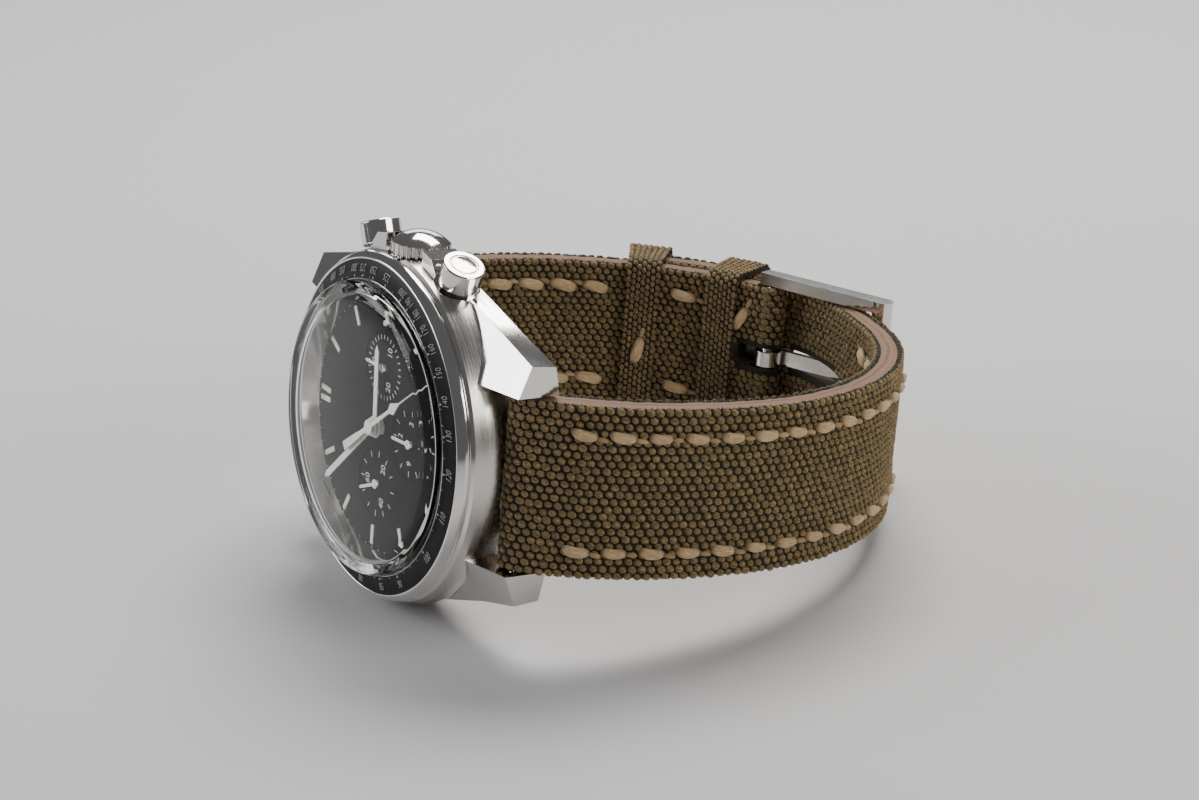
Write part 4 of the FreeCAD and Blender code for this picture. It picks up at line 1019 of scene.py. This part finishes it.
def ring_of_bars(count, radius, tall, wide, thick, front, centre=(0.0, 0.0)):
    """Bars evenly round a circle that faces the wearer."""
    base = placed("marks", bpy.data.meshes.new("marks"))
    mesh = grow(base, "marks", count=count, radius=radius * MM, length=tall * MM, width=wide * MM,
                height=thick * MM, seed=1)
    facing = Matrix((Vector((0, 1, 0)), Vector((0, 0, 1)), Vector((1, 0, 0)))).transposed().to_4x4()
    facing.translation = Vector((front * MM, centre[0] * MM, centre[1] * MM))
    mesh.transform(facing)
    mesh.materials.clear()
    return mesh


def make_bezel_scale():
    """Numerals and ticks of a speed scale round the insert."""
    fall, width = 0.42, 2.08            # the insert's cone, across its width
    steep = math.degrees(math.atan2(fall, width))
    marks = []
    readings = [500, 400, 350, 300, 275, 250, 225, 200, 190, 180, 170, 160, 150, 140, 130, 120, 110, 100,
                90, 85, 80, 75, 70, 65, 60]
    for reading in readings:
        turn = 360.0 * 60 / reading
        flip = 65 < turn < 290          # these have their tops towards the dial
        place = clock_matrix(turn, 18.42, -4.05, steep if flip else -steep, flip)
        marks.append(digits(str(reading), 0.92, place, 0.3, 0.72, thin=-0.03))
        marks.append(bar_mark(clock_matrix(turn, 17.5, -4.17, -steep), 0.24, 0.26, 0.02, 0.4))
    for step in range(60):
        if step % 5:
            marks.append(bar_mark(clock_matrix(step * 6.0, 17.42, -4.2, -steep), 0.07, 0.2, 0.02))
    mesh = joined("bezel_scale", marks)
    return finish_mesh(mesh, "bezel_scale", [material("scale")], "case")


def make_dial_marks():
    """Batons, minute track, counters' ticks, rings and numerals."""
    face = -2.2                         # the dial's front, along the dial's axis
    proud = 0.005                       # how far in front of its ground the print's middle lies
    prints = [ring_of_bars(60, 15.0, 0.75, 0.10, 0.02, face - proud),
              ring_of_bars(300, 15.2, 0.35, 0.05, 0.02, face - proud)]
    turns = [-2.6, 2.6] + [hour * 30.0 for hour in range(1, 12)]       # two batons at 12
    batons = [bar_mark(clock_matrix(turn, 13.15, face), 0.62, 2.3, 0.16) for turn in turns]
    floor = face + 0.15                 # the counters are sunk
    for key, ticks, numerals in (("running", 12, ((20, 120.0), (40, 240.0), (60, 0.0))),
                                 ("minute", 30, ((10, 120.0), (20, 240.0), (30, 0.0))),
                                 ("hour", 12, ((3, 90.0), (6, 180.0), (9, 270.0), (12, 0.0)))):
        middle = COUNTERS[key]
        tall = 0.7 if ticks == 12 else 0.5
        prints.append(ring_of_bars(ticks, 3.55, tall, 0.1, 0.02, floor - proud, middle))
        for number, turn in numerals:
            swing = math.radians(turn)
            place = clock_matrix(0.0, 0.0, floor, upright=True)
            place.translation += Vector((0, middle[0] + 2.35 * math.cos(swing),
                                         middle[1] + 2.35 * math.sin(swing))) * MM
            prints.append(digits(str(number), 1.0, place, 0.0, 0.85, 0.015))
    finish_mesh(joined("dial_print", prints), "dial_print", [material("print")], "case")
    finish_mesh(joined("hour_batons", batons), "hour_batons", [material("lume")], "case")


# ---- operators -------------------------------------------------------------------------------------

class Builder:
    """What the watch's operators share."""
    bl_options = {"REGISTER", "UNDO"}


class WATCH_OT_stage(Builder, bpy.types.Operator):
    """Floor, soft lights and the camera"""
    bl_idname = "watch.stage"
    bl_label = "Stage"

    def execute(self, context):
        settings = context.scene.watch_stage
        floor_mesh = bpy.data.meshes.new("floor")
        reach = 3.0                     # metres from the middle to an edge
        floor_mesh.from_pydata([(-reach, -reach, 0), (reach, -reach, 0), (reach, reach, 0),
                                (-reach, reach, 0)], [], [(0, 1, 2, 3)])
        floor = placed("floor", floor_mesh)
        paint, tree, shader = new_material("floor paint", Roughness=0.75)
        grain = noise(tree, object_place(tree), 40.0)
        tree.links.new(mixed(tree, grain, rgba(settings.floor_colour, 0.97), rgba(settings.floor_colour)),
                       shader.inputs["Base Color"])
        floor_mesh.materials.append(paint)
        self.add_lights(context, settings)
        self.add_camera(context, settings)
        return {"FINISHED"}

    def add_lights(self, context, settings):
        world = bpy.data.worlds.new("studio")
        context.scene.world = world
        world.use_nodes = True
        sky = world.node_tree.nodes["Background"].inputs
        sky["Color"].default_value = (0.82, 0.83, 0.86, 1.0)
        sky["Strength"].default_value = 0.15
        for name, place, target, size, power, tone in (
                ("overhead", (0.20, 0.15, 0.42), (0.0, 0.0, 0.02), 0.34, settings.key_power,
                 (1.0, 0.97, 0.93)),
                ("behind the dial", (-0.42, 0.36, 0.24), (-0.02, 0.0, 0.02), 0.42,
                 settings.key_power * 0.7, (0.97, 0.98, 1.0)),
                ("backlight", (0.44, 0.68, 0.32), (0.02, 0.0, 0.02), 0.50, settings.key_power * 0.4,
                 (0.95, 0.97, 1.0)),
                ("front fill", (0.20, -0.45, 0.26), (0.0, 0.0, 0.02), 0.30, settings.fill_power,
                 (1.0, 0.95, 0.88))):
            lamp = bpy.data.lights.new(name, "AREA")
            lamp.shape = "RECTANGLE"
            lamp.size = size
            lamp.size_y = size * 0.6
            lamp.energy = power
            lamp.color = tone
            piece = placed(name, lamp)
            piece.location = place
            aim = Vector(target) - Vector(place)
            piece.rotation_euler = aim.to_track_quat("-Z", "Y").to_euler()

    def add_camera(self, context, settings):
        turn, rise, roll = settings.view_azimuth, settings.view_elevation, settings.view_roll
        back = Vector((math.sin(turn) * math.cos(rise), -math.cos(turn) * math.cos(rise), math.sin(rise)))
        right = Vector((math.cos(turn), math.sin(turn), 0))
        up = back.cross(right)
        rolled_right = right * math.cos(roll) + up * math.sin(roll)
        rolled_up = up * math.cos(roll) - right * math.sin(roll)
        place = Matrix((rolled_right, rolled_up, back)).transposed().to_4x4()
        place.translation = (rolled_right * settings.view_across + rolled_up * settings.view_up
                             + back * settings.view_distance)
        lens = bpy.data.cameras.new("camera")
        lens.lens = settings.lens
        lens.sensor_width = 36.0
        lens.clip_start = 0.01
        camera = placed("camera", lens)
        camera.matrix_world = WATCH @ place
        context.scene.camera = camera


class WATCH_OT_case(Builder, bpy.types.Operator):
    """Middle case, bezel, case back and lug bars"""
    bl_idname = "watch.case"
    bl_label = "Case"

    def execute(self, context):
        settings = context.scene.watch_case
        case = dressed("mid_case", "case", material("satin"), settings.edge, "middle_case")
        case.data.materials.append(material("polished"))
        self.polish_facets(case.data)
        bezel = [(-2.33, 17.08), (-2.33, 20.0), (-2.65, 20.25), (-3.05, 20.15), (-3.7, 19.7), (-3.8, 19.58),
                 (-3.8, 19.35), (-3.45, 19.32), (-3.87, 17.22), (-4.24, 17.2), (-4.24, 17.08)]
        finish_mesh(lathe("bezel_ring", rounded(bezel, 0.09), 256), "bezel_ring", [material("polished")],
                    "case", ["bezel"])
        dressed("case_back", "case", material("satin"), 0.12, "back_cover")
        insert = [(-3.47, 19.3), (-3.78, 19.32), (-4.2, 17.24), (-3.9, 17.25)]
        finish_mesh(lathe("insert_ring", rounded(insert, 0.05), 256), "insert_ring", [material("insert")],
                    "case", ["bezel_insert"])
        make_bezel_scale()
        for hour in ("6", "12"):
            dressed(f"lug_bar_{hour}", "case", material("polished"), 0.06,
                    f"spring_bar_{hour}")
        return {"FINISHED"}

    def polish_facets(self, mesh):
        """Lugs and crown shoulders are polished; the flank between them is brushed."""
        back = WATCH.inverted()
        turn = back.to_3x3()
        for face in mesh.polygons:
            middle = back @ face.center
            reach = math.hypot(middle.y, middle.z)
            normal = turn @ face.normal
            if reach > 21.15 * MM or (abs(middle.y) > 9.5 * MM and middle.z * normal.z > 0
                                      and normal.x < -0.35 and reach > 19.9 * MM):
                face.material_index = 1


class WATCH_OT_crystal(Builder, bpy.types.Operator):
    """Domed crystal and its tension ring"""
    bl_idname = "watch.crystal"
    bl_label = "Crystal"

    def execute(self, context):
        wall = 17.05
        outer = [(-2.33, wall - 1.5), (-2.33, wall), (-5.35, wall), (-5.95, wall - 0.38)]
        outer += dome((-6.3, wall - 1.15), (-7.3, 0.0), 24)
        inner = dome((-6.0, 0.0), (-4.95, wall - 2.1), 20) + [(-4.6, wall - 1.5)]
        mesh = lathe("crystal_dome", rounded(outer + inner, 0.22, 4), 256)
        crystal = finish_mesh(mesh, "crystal_dome", [material("acrylic")], "case", ["crystal"],
                              smooth=60.0)
        crystal.visible_shadow = False
        dressed("crystal_tension_ring", "case", material("polished"), 0.0, "tension_ring")
        return {"FINISHED"}


class WATCH_OT_controls(Builder, bpy.types.Operator):
    """Crown and pushers"""
    bl_idname = "watch.controls"
    bl_label = "Crown and pushers"

    def execute(self, context):
        dressed("crown", "crown", material("polished"), 0.05, "crown_knob", limit=24.0)
        for name in ("upper", "lower"):
            dressed(f"pusher_cap_{name}", f"pusher_{name}", material("polished"), 0.05,
                    f"pusher_button_{name}", limit=24.0)
            dressed(f"pusher_tube_{name}", "case", material("satin"), 0.05, f"tube_{name}")
        dressed("crown_tube", "case", material("satin"), 0.05, "tube_crown")
        return {"FINISHED"}


class WATCH_OT_dial(Builder, bpy.types.Operator):
    """Dial, its markings and batons"""
    bl_idname = "watch.dial"
    bl_label = "Dial"

    def execute(self, context):
        dressed("dial", "case", material("dial"), 0.03, "dial_plate")
        make_dial_marks()
        return {"FINISHED"}


class WATCH_OT_hands(Builder, bpy.types.Operator):
    """All six hands"""
    bl_idname = "watch.hands"
    bl_label = "Hands"

    def execute(self, context):
        for node_name, body in (("hour_hand", "hour_hand"), ("minute_hand", "minute_hand"),
                                ("chronograph_hand", "chronograph_seconds"),
                                ("running_seconds_hand", "fourth_wheel"),
                                ("minute_counter_hand", "minute_counter"),
                                ("hour_counter_hand", "hour_counter")):
            dressed(node_name, body, material("hand"), 0.05, node_name + "_lacquered")
        return {"FINISHED"}


class WATCH_OT_movement(Builder, bpy.types.Operator):
    """The pieces inside the case"""
    bl_idname = "watch.movement"
    bl_label = "Movement"

    def execute(self, context):
        brass = ("main_plate", "barrel_bridge", "train_bridge", "balance_cock", "chronograph_bridge",
                 "mainspring_barrel", "center_wheel", "third_wheel", "fourth_wheel", "balance_wheel",
                 "chronograph_wheel")
        rubber = ("case_back_gasket", "crown_gasket")
        for name, piece in frame["nodes"].items():
            if piece.hide_render:
                continue
            kind = "brass" if name in brass else "rubber" if name in rubber else "satin"
            piece.data.materials.clear()
            piece.data.materials.append(material(kind))
        return {"FINISHED"}


class WATCH_OT_strap(Builder, bpy.types.Operator):
    """Leather cores, woven canvas faces and linings of both strap pieces"""
    bl_idname = "watch.strap"
    bl_label = "Strap"

    def execute(self, context):
        bar = bar_angle()
        six = Vector((BAR[0], -BAR[1], 0))
        twelve = Vector((BAR[0], BAR[1], 0))
        buckle_bar = on_loop(short_middle(BUCKLE_BAR_ANGLE), BUCKLE_BAR_ANGLE)
        roll = 2.1                      # round a lug bar
        tip_roll = 1.7                  # round the buckle's bar
        long_outer = strap_face(-1, 1, TAIL_ANGLE, -bar)
        long_roll = roll_round(six, roll, END_HALF, -bar, -bar - 180)
        long_inner = strap_face(-1, -1, -bar, TAIL_ANGLE)
        short_outer = strap_face(1, 1, BUCKLE_BAR_ANGLE, bar)
        short_roll = roll_round(twelve, roll, END_HALF, bar, bar + 180)
        tip_round = roll_round(buckle_bar, tip_roll, TIP_HALF + 0.1, BUCKLE_BAR_ANGLE - 180,
                               BUCKLE_BAR_ANGLE, 1.4)
        short_inner = strap_face(1, -1, bar, BUCKLE_BAR_ANGLE)
        self.sheet("long_strap_face", long_outer + long_roll[1:], "long_strap_canvas", -1, 1)
        self.sheet("long_strap_inside", long_inner, "long_strap_lining", -1, 2)
        self.sheet("short_strap_face", tip_round[:-1] + short_outer + short_roll[1:], "short_strap_canvas",
                   1, 3)
        self.sheet("short_strap_inside", short_inner, "short_strap_lining", 1, 4)
        self.core("long", -1, LONG_OPENINGS)
        self.core("short", 1, SHORT_OPENINGS)
        return {"FINISHED"}

    def sheet(self, name, stations, node_name, side, seed):
        """One canvas sheet: the woven crossings over a dark sheet that is painted shade for the gaps between
        them.
        """
        settings = bpy.context.scene.watch_strap
        sunk = [Station(item.point - item.normal * 0.2, item.normal, item.half, item.outline, item.slot)
                for item in stations]
        # painted shade: a dark sheet sunk under the crossings stands for the shade between them
        ground = slab(name + "_ground", sunk, SHEET - 0.22, 0.1)
        ground = cut_openings(ground, side, LONG_OPENINGS if side < 0 else SHORT_OPENINGS)
        ground.materials.clear()
        ground.materials.append(material("ground"))
        turns = (stations[1].point - stations[0].point).cross(Vector((0, 0, 1)))
        outward_sign = 1.0 if turns.dot(stations[0].normal) > 0 else -1.0
        pitch = settings.weave_pitch
        row_pitch = 2 * END_HALF * MM / settings.weave_rows
        weave = grow(path_object(stations, -0.22), "weave", pitch=pitch, rows=settings.weave_rows,
                     bead_length=pitch * 0.98, bead_width=row_pitch * 1.02, bead_height=0.72 * MM,
                     slant=math.radians(-24), margin=0.28 * MM, outward=outward_sign, seed=seed,
                     material=material("canvas"))
        finish_mesh(joined(name, [ground, weave]), name, [], "case", [node_name], smooth=65.0)

    def core(self, name, side, openings):
        """The leather between the sheets, with the frayed edges of the canvas beside it."""
        mesh = cut_openings(self.tapered_core(name, side), side, openings)
        mesh.materials.clear()
        finish_mesh(mesh, f"{name}_strap_leather", [material("leather")], "case", [f"{name}_strap_core"])
        fibre = self.fibre()
        frays = []
        for edge in (-1, 1):
            for face in (1, -1):
                line = strap_face(side, face, *(TAIL_ANGLE - 0.5, -bar_angle()) if side < 0 else
                                  (BUCKLE_BAR_ANGLE + 4, bar_angle()), lift=-face * 0.55)
                rim = [Station(item.point + Vector((0, 0, edge * (item.outline - 0.12))),
                               (0, 0, edge), item.half) for item in line]
                frays.append(grow(path_object(rim), "row", pitch=0.16 * MM, template=fibre, wander=0.9,
                                  swell=0.45, seed=7 + edge + 2 * face, material=material("fray")))
        bpy.data.objects.remove(fibre)
        finish_mesh(joined("fray", frays), f"{name}_strap_fray", [], "case", smooth=60.0)

    def tapered_core(self, name, side):
        """A slab whose depth follows the strap's thickness."""
        bm = bmesh.new()
        layer = bm.verts.layers.float.new("depth")
        middle = long_middle if side < 0 else short_middle
        first, last = (TAIL_ANGLE, -bar_angle()) if side < 0 else (BUCKLE_BAR_ANGLE + 4, bar_angle())
        spread = random.Random(side + 5)
        rings = []
        count = 150 if side < 0 else 90
        for number in range(count + 1):
            turn = first + (last - first) * number / count
            half = half_width(turn, side)
            if side < 0:
                half = max(0.1, tail_outline(turn, half))
            depth = thickness(turn) - 2 * SHEET + 0.16
            out = outward(turn)
            base = on_loop(middle(turn), turn)
            swell = spread.uniform(-0.05, 0.05)
            section = []
            steps = 8
            for step in range(steps + 1):
                share = step / steps
                bulge = 0.10 * math.sin(math.pi * share) - 0.05 * math.sin(5 * math.pi * share)
                section.append((half - 0.02 + bulge + swell, share))
            section += [(-across, share) for across, share in reversed(section)]
            ring = []
            for across, share in section:
                vert = bm.verts.new((base + out * (share - 0.5) * depth + Vector((0, 0, across))) * MM)
                vert[layer] = share
                ring.append(vert)
            rings.append(ring)
        skin(bm, rings, capped=True)
        return mesh_from(bm, name + "_core")

    def fibre(self):
        """A short bent yarn end, the template of the fray."""
        bm = bmesh.new()
        rings = []
        for reach, thin, lift in ((0.0, 0.10, 0.0), (0.14, 0.085, 0.02), (0.26, 0.03, 0.07)):
            rings.append([bm.verts.new(((thin * math.cos(turn) + lift) * MM, thin * math.sin(turn) * MM,
                                        reach * MM)) for turn in (0.0, 2.1, 4.2)])
        skin(bm, rings, capped=True)
        return placed("fibre", mesh_from(bm, "fibre"))


def stitch_template(long, wide):
    """A fat twisted stitch whose ends dive into the canvas, drawn along X with Z outwards."""
    high = 0.95
    bm = bmesh.new()
    layer = bm.verts.layers.float_vector.new("ply")
    rings = []
    stations = 16
    around = 15
    for step in range(stations + 1):
        share = step / stations
        along = (share - 0.5) * long
        full = max(0.0, 1 - abs(2 * share - 1) ** 3.2) ** 0.6
        ring = []
        for number in range(around):
            turn = 2 * math.pi * number / around
            lobe = 1 + 0.13 * math.cos(3 * (turn - share * 1.9))
            across = 0.5 * wide * full * lobe * math.cos(turn)
            lift = 0.5 * high * full * lobe * math.sin(turn) + 0.12 - 0.55 * (2 * share - 1) ** 4
            vert = bm.verts.new((along * MM, across * MM, lift * MM))
            vert[layer] = Vector((share - 0.5, across / wide, lift / high))
            ring.append(vert)
        rings.append(ring)
    skin(bm, rings)
    made = bmesh.ops.create_uvsphere(bm, u_segments=8, v_segments=5, radius=0.5)
    place = Matrix.Translation(((long / 2 + 0.45) * MM, 0, -0.02 * MM))
    bmesh.ops.transform(bm, matrix=place @ Matrix.Diagonal((1.5 * MM, 0.62 * MM, 0.5 * MM, 1)),
                        verts=made["verts"])
    # the knot's ply value puts the thread's painted end shade on it
    for vert in made["verts"]:
        vert[layer] = Vector((0.6, 0.2, 0.2))
    bmesh.ops.remove_doubles(bm, verts=bm.verts, dist=1e-7)
    bmesh.ops.transform(bm, matrix=Matrix.Rotation(math.radians(-8), 4, "Z"), verts=bm.verts)
    return placed("stitch", mesh_from(bm, "stitch"))


class WATCH_OT_stitching(Builder, bpy.types.Operator):
    """Saddle stitching along both strap pieces"""
    bl_idname = "watch.stitching"
    bl_label = "Stitching"

    def execute(self, context):
        settings = context.scene.watch_strap
        template = stitch_template(settings.stitch_length / MM, settings.thread_width / MM)
        plump = stitch_template(settings.stitch_length / MM + 0.7, settings.thread_width / MM + 0.15)
        bar = bar_angle()
        for name, side, first, last in (("long", -1, 11.4 - bar, -22.0), ("short", 1, 63.0, bar - 12)):
            rows = []
            for face in (1, -1):
                for edge in (-1, 1):
                    line = strap_face(side, face, first, last)
                    raised = [Station(item.point + Vector((0, 0, edge * (item.half - 3.1))), item.normal,
                                      item.half) for item in line]
                    rows.append(grow(path_object(raised, 0.12), "row", pitch=settings.stitch_pitch,
                                     template=template if face > 0 else plump, wander=0.10, swell=0.07,
                                     seed=20 + edge + 3 * face, material=material("thread")))
            if side > 0:
                inside = 28.95          # the short piece's lining
                rows += [self.lone(plump, inside, 40.5, height, 0.0) for height in (6.1, -6.1)]
                rows.append(self.lone(plump, inside, 24.6, 4.6, 72.0))
            finish_mesh(joined("thread", rows), f"{name}_strap_thread", [], "case",
                        [f"{name}_strap_stitching"], smooth=70.0)
        lone = self.lone(plump, 27.9, 51.0, -1.6, 88.0)
        finish_mesh(lone, "keeper_stitch", [], "loose_keeper", smooth=70.0)
        for piece in (template, plump):
            bpy.data.objects.remove(piece)
        return {"FINISHED"}

    def lone(self, template, radius, turn, height, spin):
        """One stitch on an inner face, turned about the face's own normal."""
        inward = -outward(turn)
        along = Vector((0, 0, 1)).cross(inward)
        place = Matrix((along, Vector((0, 0, 1)), inward)).transposed().to_4x4()
        place = place @ Matrix.Rotation(math.radians(spin), 4, "Z")
        place.translation = (on_loop(radius, turn) + Vector((0, 0, height))) * MM
        mesh = template.data.copy()
        mesh.transform(place)
        tint = mesh.attributes.new("tint", "FLOAT", "POINT")
        for item in tint.data:
            item.value = 0.5
        mesh.materials.append(material("thread"))
        return mesh


class WATCH_OT_keepers(Builder, bpy.types.Operator):
    """The two canvas loops that hold the strap's tail"""
    bl_idname = "watch.keepers"
    bl_label = "Keepers"

    def execute(self, context):
        self.keeper("fixed_keeper", "case", 26.0, 8.0, 31)
        self.keeper("loose_keeper", "loose_keeper", 47.0, 8.0, 32)
        return {"FINISHED"}

    def keeper(self, name, body, start, sweep, seed):
        inner, outer, half, band = 28.85, 36.35, TIP_HALF + 0.3, 0.9
        middle = start + sweep / 2
        wide = math.radians(sweep) * KEEPER_RADIUS / 2
        stations = self.loop(inner - band, outer + band, half + band, 1.5, wide)
        sunk = [Station(item.point - item.normal * 0.18, item.normal, item.half) for item in stations]
        # painted shade: a dark band sunk under the crossings stands for the shade between them
        ground = self.closed_slab(sunk, band - 0.2, wide - 0.1)
        ground.materials.append(material("ground"))
        weave = grow(path_object(stations + stations[:1], -0.2), "weave", pitch=0.82 * MM, rows=7,
                     bead_length=0.8 * MM, bead_width=0.68 * MM, bead_height=0.55 * MM,
                     slant=math.radians(-24), margin=0.15 * MM, outward=1.0, seed=seed,
                     material=material("canvas"))
        mesh = joined(name, [ground, weave])
        self.bend(mesh, middle)
        finish_mesh(mesh, name + "_woven", [], body, [name], smooth=65.0)

    def loop(self, low, high, half, corner, wide):
        """Stations round a rounded rectangle of (radius, height), its normals outwards."""
        stations = []
        for across, up, first in ((high - corner, half - corner, 0), (low + corner, half - corner, 90),
                                  (low + corner, -half + corner, 180), (high - corner, -half + corner, 270)):
            for step in range(7):
                turn = math.radians(first + 90 * step / 6)
                normal = Vector((math.cos(turn), math.sin(turn), 0))
                stations.append(Station(Vector((across, up, 0)) + normal * corner, normal, wide))
        return stations

    def closed_slab(self, stations, depth, wide):
        """A closed band under a closed line of stations."""
        bm = bmesh.new()
        rings = []
        for item in stations:
            section = [(wide - 0.2, 0.0), (wide, 0.2), (wide, depth), (-wide, depth), (-wide, 0.2),
                       (-wide + 0.2, 0.0)]
            rings.append([bm.verts.new((item.point - item.normal * down + Vector((0, 0, across))) * MM)
                          for across, down in section])
        skin(bm, rings, closed=True)
        return mesh_from(bm, "band")

    def bend(self, mesh, middle):
        """Take (radius, height, across) to the loop: across becomes a turn about the loop's middle."""
        for vert in mesh.vertices:
            radius, height, across = vert.co
            turn = math.radians(middle) + across / (KEEPER_RADIUS * MM)
            vert.co = (LOOP_MIDDLE * MM + radius * math.cos(turn), radius * math.sin(turn), height)
        mesh.flip_normals()


class WATCH_OT_buckle(Builder, bpy.types.Operator):
    """Buckle frame, tang and bar"""
    bl_idname = "watch.buckle"
    bl_label = "Buckle"

    def execute(self, context):
        steel = material("polished")
        dressed("buckle_frame", "buckle", steel, 0.35, "buckle_hoop", segments=3)
        dressed("buckle_tang", "tang", steel, 0.2, "buckle_tongue", segments=3)
        dressed("buckle_bar", "case", steel, 0.06, "buckle_pin")
        return {"FINISHED"}


OPERATORS = (WATCH_OT_stage, WATCH_OT_case, WATCH_OT_crystal, WATCH_OT_controls, WATCH_OT_dial,
             WATCH_OT_hands, WATCH_OT_strap, WATCH_OT_stitching, WATCH_OT_keepers, WATCH_OT_buckle,
             WATCH_OT_movement)
SETTINGS = {"watch_stage": StageSettings, "watch_case": CaseSettings, "watch_dial": DialSettings,
            "watch_strap": StrapSettings}


class WATCH_PT_panel(bpy.types.Panel):
    """Lists the pieces of the watch"""
    bl_idname = "WATCH_PT_panel"
    bl_label = "Watch"
    bl_space_type = "VIEW_3D"
    bl_region_type = "UI"
    bl_category = "Watch"

    def draw(self, context):
        for operator in OPERATORS:
            self.layout.operator(operator.bl_idname)
        for name, settings in SETTINGS.items():
            box = self.layout.box()
            for key in settings.__annotations__:
                box.prop(getattr(context.scene, name), key)


def register():
    for kind in (*SETTINGS.values(), *OPERATORS, WATCH_PT_panel):
        bpy.utils.register_class(kind)
    for name, kind in SETTINGS.items():
        setattr(bpy.types.Scene, name, PointerProperty(type=kind))


def unregister():
    for name in SETTINGS:
        delattr(bpy.types.Scene, name)
    for kind in reversed((*SETTINGS.values(), *OPERATORS, WATCH_PT_panel)):
        bpy.utils.unregister_class(kind)


def main():
    for piece in [item for item in bpy.data.objects if item.name in ("Cube", "Light", "Camera")]:
        bpy.data.objects.remove(piece)
    register()
    for operator in OPERATORS:
        group, name = operator.bl_idname.split(".")
        getattr(getattr(bpy.ops, group), name)()


if __name__ == "__main__":
    main()
